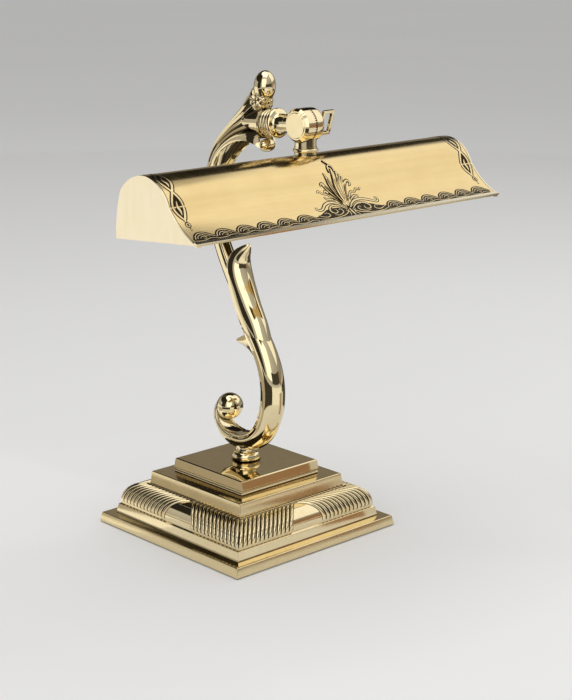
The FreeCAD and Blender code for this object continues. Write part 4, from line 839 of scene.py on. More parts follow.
def crescent(rim, spine, half, wall, bow, flutes=0, depth=0.0):
    """A hollow section, open at the rim: outer bow, rounded rim, inner bow, rounded rim."""
    out = spine - rim
    side = Vector((half, 0, 0))
    thin = 1 - wall / out.length
    narrow = 1 - wall / (SIDE_THINNER * half)
    ring = []
    count = bow * max(flutes, 1)
    for k in range(count + 1):
        turn = math.pi * k / count
        from_rim = (math.pi / 2 - abs(turn - math.pi / 2)) * flutes / math.pi
        dip = depth * abs(math.sin(flutes * turn)) * min(1.0, max(0.0, from_rim - PLAIN_RIM))
        shrink = 1 - dip / out.length, 1 - dip / half
        ring.append(rim + side * (math.cos(turn) * shrink[1]) + out * (math.sin(turn) * shrink[0]))
    lip = out.normalized() * -(wall / SIDE_THINNER * LIP_ROUND)
    ring.append(rim - side * (1 + narrow) / 2 + lip)
    for k in range(bow + 1):
        turn = math.pi * k / bow
        ring.append(rim - side * (narrow * math.cos(turn)) + out * (thin * math.sin(turn)))
    ring.append(rim + side * (1 + narrow) / 2 + lip)
    return ring


def leaf_shape(stations, wall):
    """A hollow leaf on the stem; a station is (rim y, height, spine y, height, half width)."""
    return loft([crescent(stem_point(rim_y, rim_height), stem_point(spine_y, spine_height), half, wall, 18)
                 for rim_y, rim_height, spine_y, spine_height, half in smooth_run(stations, 8)])


for name, stations, wall in (("lily_leaf", LEAF_STATIONS, LEAF_WALL),
                             ("scroll_spur", SPUR_STATIONS, SPUR_WALL)):
    make_piece(name, leaf_shape(stations, wall), mirror_brass, "stand", "scroll_stem", crease=50)


# ---------------- acanthus head
# The head is a hollow acanthus leaf, cast and chased: bright ribs fan out between flutes
# whose floors carry dark brown strips, patina and painted shade. A tube under it carries the
# lead, and it ends in a bud above and a curl below.
STEM_LENGTH = 240.0
STEM_TOP = STEM_FOOT + STEM_LENGTH
HEAD_STATIONS = ((33.9, -8, 47.3, -8, 8.8), (32.4, 8.8, 45.7, 8.8, 11), (27.3, 15.2, 42.7, 15.2, 12.5),
    (22.2, 21.7, 39.9, 22.3, 13.5), (16, 28.1, 35, 31.5, 14), (7.9, 33.6, 27.5, 41.5, 14.3),
    (-1, 37.9, 17.9, 51.1, 14.4), (-10.4, 40.2, 8, 60.7, 14.2), (-19.3, 40.3, -1.5, 69.9, 13.6),
    (-25.9, 38.2, -8.4, 79.2, 12), (-30.5, 35.3, -17, 88.4, 9.5))
HEAD_WALL, HEAD_FLUTES, FLUTE_DEPTH, FLUTE_STEPS = 2.8, 15, 2.0, 8
FLUTE_RUN_IN, FLUTE_START = 14.0, (0.35, 0.65)
HEAD_LEAD = ((36.9, 12.7), (29.7, 28.1), (20.0, 40.5), (11.0, 49.0))
CONDUIT_RADIUS, KNUCKLE_HEIGHT, ARM_SEAT_Y, ARM_LENGTH, ARM_RISE = 4.3, 58.5, -26.5, 50.0, 3.0
KNUCKLE = Vector((0, ARM_SEAT_Y - ARM_LENGTH, STEM_TOP + KNUCKLE_HEIGHT))
ARM_AXIS = Vector((0, math.cos(math.radians(ARM_RISE)), -math.sin(math.radians(ARM_RISE))))
chased_brass = brass("chased_brass", (0.90, 0.78, 0.50), (0.82, 0.67, 0.39), (0.05, 0.09),
                     grain=250.0, relief=0.02, hollow_darkening=1.0, depth=0.005)


def head_point(y, height):
    return Vector((0, y, STEM_TOP + height))


def pipe(route, radius, steps=20):
    """A round tube along a smooth route of (y, z) points."""
    rows = smooth_run(route, 8)
    rings = []
    for i, (y, z) in enumerate(rows):
        side = Vector((1, 0, 0)).cross(heading(rows, i))
        rings.append([Vector((0, y, z)) + Vector((radius * math.cos(a), 0, 0))
                      + side * (radius * math.sin(a)) for a in round_turns(steps)])
    return loft(rings)


above_stem = smooth_run(HEAD_STATIONS, 5)
cut_in = next(i for i, row in enumerate(above_stem) if row[1] > 0 and row[3] > 0)
hood = []
for row in above_stem[cut_in - 1:]:
    place = [head_point(row[0], max(row[1], 0.0)), head_point(row[2], max(row[3], 0.0))]
    open_out = min(1.0, max(row[1], 0.0) / FLUTE_RUN_IN)
    hood.append(crescent(place[0], place[1], row[4], HEAD_WALL, FLUTE_STEPS, HEAD_FLUTES,
                         FLUTE_DEPTH * (FLUTE_START[0] + FLUTE_START[1] * open_out)))
SEAT_RADIUS, SEAT_DEPTH, SEAT_TAPER, SEAT_TAPER_DEPTH = 11.0, 12.0, 9.8, 19.0
SEAT_END, SEAT_TIP = 25.0, 1.6
LEAD_START, LEAD_TURN = 5.0, 26.0
arm_start = KNUCKLE + ARM_AXIS * (ARM_LENGTH + LEAD_START)
arm_turn = KNUCKLE + ARM_AXIS * (ARM_LENGTH + LEAD_TURN)
lead_way = [(UPPER_STATIONS[-1][0], STEM_TOP)] + [(y, STEM_TOP + h) for y, h in HEAD_LEAD]
lead_way += [(arm_turn.y, arm_turn.z), (arm_start.y, arm_start.z)]
conduit = pipe(lead_way, CONDUIT_RADIUS)
seat_end = ARM_LENGTH + SEAT_END
core = turned(outline_of([
    (0, ARM_LENGTH), (SEAT_RADIUS, ARM_LENGTH), (SEAT_RADIUS, ARM_LENGTH + SEAT_DEPTH),
    ((SEAT_TAPER, ARM_LENGTH + SEAT_TAPER_DEPTH), (CONDUIT_RADIUS + SEAT_TIP, seat_end)),
    (0, seat_end)], 10), KNUCKLE, ARM_AXIS)
make_piece("acanthus_hood", joined(loft(hood), conduit, core), chased_brass, "stand",
           "acanthus_head", crease=50)

# Dark strips laid in the floors of the flutes: painted shade, with the patina that chased hollows keep.
flute_patina_and_shade = brass("flute_patina_and_shade", (0.085, 0.062, 0.03), (0.045, 0.033, 0.016), (0.2, 0.3), grain=300.0,
                    relief=0.05, hollow_darkening=0.8, depth=0.003, rubbing=0.0, coat=0.05)
FLUTE_SKIN, FLUTE_ROOT, FLUTE_REACH, FLUTE_FADE = 0.05, 0.4, 2, 0.25
flute_shade_strips = []
for flute in range(1, HEAD_FLUTES - 1):
    bottom = FLUTE_STEPS * flute + FLUTE_STEPS // 2
    rings = []
    for i, section in enumerate(hood):
        middle = (section[0] + section[FLUTE_STEPS * HEAD_FLUTES]) / 2
        floor = section[bottom - FLUTE_REACH:bottom + FLUTE_REACH + 1]
        away = (section[bottom] - middle).normalized()
        ends = min(1.0, FLUTE_FADE * (1 + min(i, len(hood) - 1 - i)))
        narrow = [section[bottom].lerp(p, ends) for p in floor]
        rings.append([p + away * FLUTE_SKIN for p in narrow]
                     + [p - away * FLUTE_ROOT for p in reversed(narrow)])
    flute_shade_strips.append(loft(rings))
make_piece("hood_flute_shade", joined(*flute_shade_strips), flute_patina_and_shade, "stand", crease=60)

CALYX_CENTRE, CALYX_RADIUS, CALYX_HALF_LENGTH, CALYX_LEAN = (-21.5, 72.0), 9.7, 13.5, -0.1
CALYX_SHIFT, LOBE_SIZE, LOBE_DEPTH = (-1.0, 3.0), 4.2, 0.22
LOBE_LENGTH, LOBE_LEVEL, CREASE_SIZE, CREASE_SHARE = 0.6, 0.6, 0.4, 0.35
BUD_CENTRE, BUD_RADIUS, BUD_HALF_LENGTH, BUD_LEAN = (-26.5, 86.0), 9.4, 13.6, -0.12
CURL_CENTRE, CURL_RADIUS, CURL_HALF_LENGTH = (-29.5, 37.0), 5.6, 8.2


def crumpled(shape, centre, size, amount):
    """A turned shape with its skin pushed in and out as crumpled leaf lobes of one size."""
    points, faces = shape
    moved = []
    for p in points:
        away = Vector(p) - centre
        lobe = 1 - 2 * abs(noise.noise(Vector((away.x, away.y, away.z * LOBE_LENGTH)) / size))
        fine = noise.noise(Vector(p) / (CREASE_SIZE * size))
        moved.append(centre + away * (1 + amount * (lobe - LOBE_LEVEL + CREASE_SHARE * fine)))
    return moved, faces


calyx = spindle(head_point(*(a + b for a, b in zip(CALYX_CENTRE, CALYX_SHIFT))), CALYX_RADIUS,
                CALYX_HALF_LENGTH, (0, CALYX_LEAN, 1), 40)
make_piece("bud_calyx", crumpled(calyx, head_point(*CALYX_CENTRE), LOBE_SIZE, LOBE_DEPTH),
           chased_brass, "stand", "acanthus_head", crease=60)
make_piece("bud_top", spindle(head_point(*BUD_CENTRE), BUD_RADIUS, BUD_HALF_LENGTH,
                              (0, BUD_LEAN, 1), 32), mirror_brass, "stand", "head_bud", crease=60)
make_piece("hood_curl", spindle(head_point(*CURL_CENTRE), CURL_RADIUS, CURL_HALF_LENGTH, (1, 0, 0)),
           mirror_brass, "stand", "head_curl", crease=60)


# ---------------- arm boss
# A turned boss of beads and grooves is brazed into the head and ends in a neck for the
# knuckle. It is one brass turning, polished on the lathe.
ARM_NECK, ARM_RING, ARM_BEAD, ARM_GROOVE, ARM_BASE = 7.8, 12.7, 11.4, 9.4, 12.0
# Distances from the boss's base towards the knuckle
BASE_EDGE, BASE_END, BEAD_FEET, BEAD_LENGTH = 2.2, 3.4, (3.8, 7.2, 10.6), 3.0
RING_FOOT, RING_MIDDLE, RING_HEAD, RING_IN = 13.9, 16.2, 18.6, 2.0
FLARE_END, FLARE_START, NECK_FLARE, NECK_OUT = 19.6, 21.0, 0.8, 6.0
DRUM_RADIUS, CROSS_CLEARANCE, HALF_WASHER = 14.0, 0.35, 0.4
end = ARM_LENGTH
beads = [(0, end), (ARM_BASE, end), (ARM_BASE, end - BASE_EDGE), (ARM_GROOVE, end - BASE_END)]
for foot in BEAD_FEET:
    beads += [(ARM_GROOVE, end - foot), ((ARM_BEAD, end - foot - BEAD_LENGTH / 2),
                                         (ARM_GROOVE, end - foot - BEAD_LENGTH))]
outline = outline_of(beads + [
    (ARM_RING - RING_IN, end - RING_FOOT),
    ((ARM_RING, end - RING_MIDDLE), (ARM_RING - RING_IN, end - RING_HEAD)),
    (ARM_NECK + NECK_FLARE, end - FLARE_END), (ARM_NECK, end - FLARE_START),
    (ARM_NECK, DRUM_RADIUS + NECK_OUT), (0, DRUM_RADIUS + NECK_OUT)], 12)
make_piece("arm_turning", turned(outline, KNUCKLE, ARM_AXIS), mirror_brass, "stand", "arm_boss",
           crease=35, ease=0.2)


# ---------------- knuckle and its cap
# The hinge is a drum in two halves that meet on a fibre washer. The arm's half has a
# chamfered rim and a polished cap over the clamp screw; the shade's half has a round rim.
DRUM_LEFT, DRUM_RIGHT, DRUM_CHAMFER, DRUM_ROUND, CAP_RADIUS, CAP_THICKNESS = 11.5, 10.0, 2.2, 4.0, 10.6, 1.2
DRUM_BORE, CLAMP_BORE, CAP_BULGE, NECK_BITE, NECK_STEPS = 4.6, 3.05, 0.5, 0.4, 64


def necked(radius, far, along, own_side):
    """A round neck whose near end fits the drum: into its own half, clear of the other."""
    along = Vector(along).normalized()
    up = Vector((1, 0, 0)).cross(along)
    steps, half = NECK_STEPS, NECK_STEPS // 2
    reaches = DRUM_RADIUS - NECK_BITE, DRUM_RADIUS + CROSS_CLEARANCE

    def on_neck(x, a, distance):
        return KNUCKLE + Vector((x, 0, 0)) + up * (radius * math.sin(a)) + along * distance

    def saddle(x, a, reach):
        return on_neck(x, a, math.sqrt(reach ** 2 - (radius * math.sin(a)) ** 2))

    turns = round_turns(steps)
    points = [saddle(radius * math.cos(a), a, reaches[radius * math.cos(a) * own_side <= HALF_WASHER])
              for a in turns]
    points += [on_neck(radius * math.cos(a), a, far) for a in turns]
    faces = [(k, (k + 1) % steps, steps + (k + 1) % steps, steps + k) for k in range(steps)]
    faces.append(tuple(range(steps, 2 * steps)))
    before = [(-half // 2) % steps] * 4
    for k in range(1 - half // 2, half // 2):
        own, other = (k % steps, half - k) if own_side > 0 else (half - k, k % steps)
        row = [own, len(points), len(points) + 1, other]
        points += [saddle(HALF_WASHER * own_side, turns[k % steps], reach) for reach in reaches]
        faces += [(before[i], before[i + 1], row[i + 1], row[i]) for i in range(3)]
        before = row
    faces += [(before[i], before[i + 1], half // 2, half // 2) for i in range(3)]
    return points, [tuple(c for i, c in enumerate(f) if c not in f[:i]) for f in faces]


cap_seat = DRUM_LEFT - CAP_THICKNESS
drum = [(DRUM_BORE, HALF_WASHER), (DRUM_RADIUS, HALF_WASHER), (DRUM_RADIUS, DRUM_LEFT - DRUM_CHAMFER),
        (DRUM_RADIUS - DRUM_CHAMFER, DRUM_LEFT), (CAP_RADIUS, DRUM_LEFT), (CAP_RADIUS, cap_seat),
        (DRUM_BORE, cap_seat), (DRUM_BORE, HALF_WASHER)]
make_piece("drum_of_arm", joined(turned(drum, KNUCKLE, (-1, 0, 0), 96),
                                 necked(ARM_NECK, DRUM_RADIUS + NECK_OUT, ARM_AXIS, -1)),
           mirror_brass, "stand", "knuckle_arm_half", crease=28, ease=0.15)
cap = [(0, cap_seat), (CAP_RADIUS, cap_seat), (CAP_RADIUS, DRUM_LEFT),
       (CAP_RADIUS - CAP_BULGE, DRUM_LEFT + CAP_BULGE), (0, DRUM_LEFT + CAP_BULGE)]
make_piece("drum_end_cap", turned(cap, KNUCKLE, (-1, 0, 0), 96), mirror_brass, "stand", "drum_cap",
           crease=28)


TEETH, TOOTH_LENGTH, TOOTH_WIDTH, TOOTH_RISE, TOOTH_FROM_SEAM = 46, 1.3, 0.9, 0.09, 1.0
TOOTH_ROOT, TOOTH_EDGE, TOOTH_TAPER = 0.4, 0.04, 0.8


def build_seam_tree():
    """Small dark notches in a ring round the drum, beside the seam."""
    tree, entry, leave = geometry_tree("notches_round_the_seam", [
        ("Notches", INTEGER, 1), ("Radius", FLOAT, 0.01), ("Place", VECTOR, (0, 0, 0))])
    ring = put(tree, "GeometryNodeMeshCircle", {"Vertices": entry["Notches"], "Radius": entry["Radius"]})
    stood = put(tree, "GeometryNodeTransform", {
        "Geometry": ring.outputs["Mesh"], "Translation": entry["Place"], "Rotation": (0, math.pi / 2, 0)})
    centred = put(tree, "ShaderNodeVectorMath", {
        0: put(tree, "GeometryNodeInputPosition").outputs["Position"], 1: entry["Place"]},
        operation="SUBTRACT")
    outward = put(tree, "FunctionNodeAlignRotationToVector", {"Vector": centred.outputs["Vector"]},
                  axis="Z", pivot_axis="X")
    row = put(tree, "GeometryNodeInstanceOnPoints", {
        "Points": stood.outputs["Geometry"], "Instance": entry["Geometry"],
        "Rotation": outward.outputs["Rotation"]})
    return close_tree(tree, entry, leave, row.outputs["Instances"])


notch = loft([[Vector((x * TOOTH_LENGTH / 2 * s, y * TOOTH_WIDTH / 2 * s, z))
               for x, y in ((-1, -1), (1, -1), (1, 1), (-1, 1))]
              for s, z in ((1, -TOOTH_ROOT), (1, TOOTH_RISE - TOOTH_EDGE), (TOOTH_TAPER, TOOTH_RISE))])
grown("seam_notches", notch, build_seam_tree(),
      {"Notches": TEETH, "Radius": DRUM_RADIUS * MM,
       "Place": (KNUCKLE - Vector((TOOTH_FROM_SEAM, 0, 0))) * MM}, blackening_and_groove_shade, "stand")


# ---------------- wing key
# A flat rectangular loop of brass rod on a threaded hub. It turns on the end of the clamp
# screw and sets how hard the knuckle grips.
KEY_FOOT, KEY_HUB_RADIUS, KEY_HUB_LENGTH, KEY_HUB_EDGE, KEY_SINK = 11.05, 4.2, 6.5, 1.0, 0.9
KEY_WIDTH, KEY_HEIGHT, KEY_BAR, KEY_DEPTH, KEY_TURN, LOOP_BITE = 12.5, 21.5, 2.6, 3.0, 17.0, 0.4
hub_end = KEY_FOOT + KEY_HUB_LENGTH
hub = [(CLAMP_BORE, KEY_FOOT), (KEY_HUB_RADIUS, KEY_FOOT), (KEY_HUB_RADIUS, hub_end - KEY_HUB_EDGE),
       (KEY_HUB_RADIUS - KEY_HUB_EDGE, hub_end), (0, hub_end), (0, hub_end - KEY_SINK),
       (CLAMP_BORE, hub_end - KEY_SINK), (CLAMP_BORE, KEY_FOOT)]
half = KEY_WIDTH / 2
bar, sides = mitred([(half, -KEY_DEPTH / 2), (half, KEY_DEPTH / 2), (half - KEY_BAR, KEY_DEPTH / 2),
                     (half - KEY_BAR, -KEY_DEPTH / 2)], (KEY_HEIGHT - KEY_WIDTH) / 2)
turn = Matrix.Rotation(math.radians(KEY_TURN), 3, "X")
middle = hub_end - LOOP_BITE + half
loop = [KNUCKLE + turn @ Vector((x + middle, -z, y)) for x, y, z in bar], sides
make_piece("key_loop_and_hub", joined(turned(hub, KNUCKLE, (1, 0, 0), 48), loop), mirror_brass,
           "key", "wing_key", ease=0.55)


# ---------------- shade's half and post
# The shade's half of the drum and the post below it are one casting; the post has a ring
# above its foot and is screwed to the shade by a hollow nipple.
POST_RADIUS, POST_FLANGE, POST_FLANGE_HEIGHT, POST_FOOT, POST_LENGTH = 9.3, 10.6, 3.0, 1.8, 24.0
POST_BORE, NECK_STEP, POST_SINK, RING_BED, NECK_LAP = 4.0, 0.25, 0.35, 1.5, 1.0
ARC_SAG = 0.293
post_bed = POST_LENGTH + POST_SINK
arc_middle = ARC_SAG * DRUM_ROUND
drum = outline_of([(CLAMP_BORE, HALF_WASHER), (DRUM_RADIUS, HALF_WASHER),
                   (DRUM_RADIUS, DRUM_RIGHT - DRUM_ROUND),
                   ((DRUM_RADIUS - arc_middle, DRUM_RIGHT - arc_middle),
                    (DRUM_RADIUS - DRUM_ROUND, DRUM_RIGHT)),
                   (CLAMP_BORE, DRUM_RIGHT), (CLAMP_BORE, HALF_WASHER)], 8)
flange = POST_LENGTH - POST_FOOT - POST_FLANGE_HEIGHT
ring = outline_of([(POST_BORE, flange - RING_BED), (POST_RADIUS, flange - RING_BED), (POST_RADIUS, flange),
                   ((POST_FLANGE, flange + POST_FLANGE_HEIGHT / 2),
                    (POST_RADIUS, flange + POST_FLANGE_HEIGHT)),
                   (POST_RADIUS, post_bed), (POST_BORE, post_bed), (POST_BORE, flange - RING_BED)], 10)
make_piece("post_and_drum", joined(turned(drum, KNUCKLE, (1, 0, 0), 96),
                                   necked(POST_RADIUS - NECK_STEP, flange + NECK_LAP, (0, 0, -1), 1),
                                   turned(ring, KNUCKLE, (0, 0, -1), 64)),
           mirror_brass, "shade", "knuckle_shade_half", crease=28, ease=0.15)


# ---------------- shade shell
# The shade is one sheet of brass, rolled to a trough: a round back and crown, a waist and a
# hollow front that runs out to the lip. It is satined lengthways and lacquered.
SHADE_TOP = KNUCKLE - Vector((0, 0, POST_LENGTH))
SHADE_LENGTH, SHADE_WALL, END_CAP_WALL, SHADE_BAYS, SHADE_STOPS = 345.0, 1.0, 1.0, 24, 70
SHADE_ARCS = ((-64.3, -45.3), ((-45.5, -34.4), (-32.3, -21.0)), ((-18.8, -4.8), (-3.0, 0.0)),
              ((13.5, -4.0), (26.1, -14.4)), ((30.9, -32.0), (32.8, -53.0)))
satin_shade = brass("satin_shade_brass", (0.80, 0.61, 0.29), (0.74, 0.55, 0.25), (0.15, 0.2),
                    grain=160.0, stretch=(0.04, 1.0, 1.0), relief=0.03, hollow_darkening=0.4, depth=0.001)
shade_line = [Vector((0, y, z)) for y, z in outline_of(SHADE_ARCS, 60)]
line_at = [0.0]
for a, b in zip(shade_line, shade_line[1:]):
    line_at.append(line_at[-1] + (b - a).length)


def on_shade(x, distance, lift=0.0):
    """Point on the shade's outside: x along it, distance up from the lip, lift off it."""
    i = max(j for j in range(len(line_at) - 1) if line_at[j] <= max(distance, 0.0))
    a, b = shade_line[i], shade_line[i + 1]
    share = (distance - line_at[i]) / (line_at[i + 1] - line_at[i])
    before, after = shade_line[max(i - 1, 0)], shade_line[min(i + 2, len(shade_line) - 1)]
    along = ((b - a) * 2 + (b - before) + (after - a)).normalized()
    out = Vector((0, -along.z, along.y))
    return SHADE_TOP + Vector((x, 0, 0)) + a.lerp(b, share) + out * lift


half = SHADE_LENGTH / 2 - END_CAP_WALL
stations = [line_at[-1] * i / SHADE_STOPS for i in range(SHADE_STOPS + 1)]
rings = []
for k in range(SHADE_BAYS + 1):
    x = -half + 2 * half * k / SHADE_BAYS
    rings.append([on_shade(x, s) for s in stations]
                 + [on_shade(x, s, -SHADE_WALL) for s in reversed(stations)])
make_piece("trough_shell", loft(rings), satin_shade, "shade", "shade_shell", slot="sheet_brass",
           crease=50)


# ---------------- shade ends and lip
# Flat brass plates close the trough, soldered over its ends, and a flat moulding of the same
# brass stiffens the lip. Both are plain, and their colour is a paler copy of the front's: a painted
# reflection.
painted_pale_plate = brass("pale_plate_brass", (0.90, 0.80, 0.58), (0.87, 0.76, 0.53), (0.16, 0.2),
                   grain=150.0, stretch=(1.0, 1.0, 0.2), relief=0.01, hollow_darkening=0.2, depth=0.001,
                   rubbing=0.1)
dress(painted_pale_plate, "end_cap_left", "end_cap_right", "lip_bead")


# ---------------- chased ornament
# The front is chased by hand: a running leaf scroll along the lip, braids down both ends
# and a palmette in the middle. Each line is cut, blackened and the leaf left standing.
standing_leaf = brass("standing_leaf_brass", (0.84, 0.67, 0.36), (0.74, 0.57, 0.28), (0.16, 0.24),
                      grain=500.0, relief=0.03, hollow_darkening=0.6, depth=0.001)
LINE_WIDTH, LEAF_RISE, LINE_RISE, LAYER = 0.6, 0.17, 0.11, 0.08
STRIP_ROOT, STRIP_EDGE, LEAST_HALF, FIELD_SINK, VEIN_RISE = -0.15, 0.02, 0.04, 0.04, 0.02


def strip(stations, rise, wider=0.0, steps=5):
    """A closed strip on the shade along stations of (x, distance from the lip, half width)."""
    rows = smooth_run(stations, steps)
    rings = []
    for i, (x, s, half) in enumerate(rows):
        before, after = neighbours(rows, i)
        dx, ds = after[0] - before[0], after[1] - before[1]
        size = max(math.hypot(dx, ds), 1e-6)
        nx, ns = -ds / size, dx / size
        half = max(half, LEAST_HALF) + wider
        lifts = ((-1, STRIP_ROOT), (-1, STRIP_EDGE), (-0.6, 0.8 * rise), (0, rise), (0.6, 0.8 * rise),
                 (1, STRIP_EDGE), (1, STRIP_ROOT))
        rings.append([on_shade(x + nx * half * u, s + ns * half * u, lift) for u, lift in lifts])
    return loft(rings)


def ornament(strips, fields=(), veins=(), layer=LAYER, outline=LINE_WIDTH):
    """Standing leaves, each over the last, and all that is blackened: outlines, fields, veins."""
    leaves = joined(*[strip(s, LEAF_RISE + layer * i) for i, s in enumerate(strips)])
    lines = [strip(s, LINE_RISE + layer * i, outline) for i, s in enumerate(strips)]
    lines += [strip(s, LINE_RISE - FIELD_SINK) for s in fields]
    lines += [strip(s, LEAF_RISE + layer * len(strips) + VEIN_RISE) for s in veins]
    return leaves, joined(*lines)


# One hump of the lip border: fine bright lines standing on a blackened field
SCROLL_FIELD = ((-1.2, 6.2, 2.2), (1.5, 7.6, 3.8), (5, 9.2, 5.4), (9, 9.6, 5.8), (13, 8.9, 5.2),
    (17, 7.5, 3.9), (20.8, 6.4, 2.6))
SCROLL_LINES = (
    ((0.4, 7.6, 0.3), (1.8, 10.8, 0.42), (5.4, 13.7, 0.5), (9.6, 14, 0.5), (14, 12.2, 0.45),
     (18, 9.4, 0.4), (21.4, 7.8, 0.3)),
    ((2.8, 8, 0.25), (4.2, 10.6, 0.4), (7.8, 12, 0.45), (11.6, 11, 0.4), (15, 8.8, 0.3)),
    ((5.2, 8, 0.25), (6.6, 9.6, 0.38), (9, 10.1, 0.4), (11.2, 8.8, 0.35), (9.8, 7.4, 0.3), (8, 8, 0.25)),
    ((-1.4, 6, 0.3), (3, 5.4, 0.42), (9, 5.8, 0.45), (14, 7, 0.42), (18, 6.6, 0.35), (20.6, 5.6, 0.3)))
SCROLL_PITCH, SCROLLS, SCROLL_START, SCROLL_START_RIGHT = 21.2, 6, -167.0, 40.5


def build_scroll_tree():
    """Two rows of the same leaf scroll along the lip, one each side of the palmette."""
    tree, entry, leave = geometry_tree("scrolls_along_the_lip", [
        ("Scrolls", INTEGER, 1), ("Pitch", VECTOR, (0, 0, 0)), ("Left start", VECTOR, (0, 0, 0)),
        ("Right start", VECTOR, (0, 0, 0))])
    rows = [row_of(tree, entry, "Scrolls", "Pitch", start) for start in ("Left start", "Right start")]
    return close_tree(tree, entry, leave, gathered(tree, *rows))


def chase(leaf_name, line_name, shapes, finish):
    """The leaves of one ornament and all that is blackened round them, as two pieces."""
    for name, shape, skin in zip((leaf_name, line_name), shapes, (finish, blackening_and_groove_shade)):
        make_piece(name, shape, skin, "shade", slot="sheet_brass", crease=60)


scroll_tree = build_scroll_tree()
row_sizes = {"Scrolls": SCROLLS, "Pitch": (SCROLL_PITCH * MM, 0, 0),
             "Left start": (SCROLL_START * MM, 0, 0), "Right start": (SCROLL_START_RIGHT * MM, 0, 0)}
leaves, lines = ornament(SCROLL_LINES, [SCROLL_FIELD], layer=0.0)
grown("lip_scroll_leaves", leaves, scroll_tree, row_sizes, standing_leaf, "shade")
grown("lip_scroll_lines", lines, scroll_tree, row_sizes, blackening_and_groove_shade, "shade")

BRAID_X, BRAID_HALF, BRAID_LOOP, BRAID_FOOT, BRAID_LOOPS, STRAND_HALF = 163.2, 4.9, 25.0, 28.0, 3, 1.15
BRAID_STEPS, STRAND_TOE = 8, (1.0, 1.5, 0.3)
# Stations of what lies in and under a braid: across it, up it and half as wide
ALMOND = ((0, 5, 0.2), (0.5, 9, 1.2), (-0.5, 13, 1.3), (0, 17, 0.2))
DROP = ((-0.7, -9, 0.3), (0, -9, 0.7), (0.7, -9, 0.3))
EYE_WIDE, EYE_HIGH, EYE_DROP, EYE_LINE = 1.5, 1.7, 4.4, 0.45
# The blackened ground of a loop: up it and half as wide, as shares of the loop
LOOP_FIELD = ((0.04, 0.1), (0.2, 0.58), (0.5, 0.95), (0.8, 0.58), (0.96, 0.1))
END_LINE_X, END_LINE_FOOT, END_LINE_STEP, END_LINE_STEPS, END_LINE_HALF = 170.7, 2.0, 7.4, 20, 0.25


def braid(side):
    """Two strands that cross over each other down one end, with an almond in each loop."""
    strips = []
    for hand in (-1, 1):
        row = []
        for k in range(BRAID_STEPS * BRAID_LOOPS + 1):
            t = k / BRAID_STEPS
            swing = hand * (-1) ** int(t) * abs(math.sin(math.pi * t)) if t < BRAID_LOOPS else 0.0
            row.append((side * BRAID_X + BRAID_HALF * swing, BRAID_FOOT + BRAID_LOOP * t, STRAND_HALF))
        row[0] = (row[0][0] - hand * STRAND_TOE[0], row[0][1] - STRAND_TOE[1], STRAND_TOE[2])
        strips.append(row)
    for k in range(BRAID_LOOPS):
        low = BRAID_FOOT + BRAID_LOOP * k
        strips.append([(side * BRAID_X + x, low + up, half) for x, up, half in ALMOND])
    strips.append([(side * BRAID_X + EYE_WIDE * math.cos(a),
                    BRAID_FOOT - EYE_DROP + EYE_HIGH * math.sin(a), EYE_LINE)
                   for a in round_turns(12) + [2 * math.pi]])
    strips.append([(side * BRAID_X + x, BRAID_FOOT + up, half) for x, up, half in DROP])
    return strips


end_fields = [[(side * END_LINE_X, END_LINE_FOOT + END_LINE_STEP * k, END_LINE_HALF)
               for k in range(END_LINE_STEPS + 1)] for side in (-1, 1)]
for side in (-1, 1):
    for k in range(BRAID_LOOPS):
        low = BRAID_FOOT + BRAID_LOOP * k
        end_fields.append([(side * BRAID_X, low + BRAID_LOOP * at, BRAID_HALF * wide)
                           for at, wide in LOOP_FIELD])
chase("end_braid_leaves", "end_braid_lines",
      ornament(braid(-1) + braid(1), end_fields, layer=0.0, outline=0.8), standing_leaf)

# The palmette, from its outer curls to the middle leaf that lies over them all
PALMETTE_CURLS = (
    ((-2, 15, 0.5), (-9.5, 21.6, 0.9), (-17.2, 23.2, 1.1), (-24, 20.4, 1.1), (-29.5, 16.8, 0.9),
     (-33.4, 17.8, 0.7), (-33, 20.6, 0.5)),
    ((2, 15, 0.5), (8.4, 20.4, 0.9), (15.4, 22.4, 1.1), (23.6, 21.2, 1.1), (30.4, 18.2, 1),
     (35.4, 17.4, 0.8), (36.4, 20.4, 0.6), (34, 21.2, 0.4)),
    ((-3, 13.6, 0.4), (-9, 18.6, 0.7), (-15.2, 19.6, 0.8), (-20.6, 16.2, 0.8), (-20.4, 12.4, 0.7),
     (-16.6, 11.2, 0.6), (-14.2, 13.6, 0.5), (-16, 15.6, 0.3)),
    ((3.6, 13.2, 0.4), (9, 17, 0.7), (15, 18.6, 0.8), (21, 17, 0.8), (23.4, 13.2, 0.7),
     (20.4, 10.4, 0.6), (16.6, 11.6, 0.5), (17.2, 14.4, 0.3)),
    ((-8, 24, 0.4), (-12, 26.2, 0.7), (-16.2, 27.2, 0.6), (-17.4, 29.6, 0.4)),
    ((8, 22.6, 0.4), (12.4, 25.4, 0.7), (16.4, 26.6, 0.6), (19.6, 25.4, 0.4)))
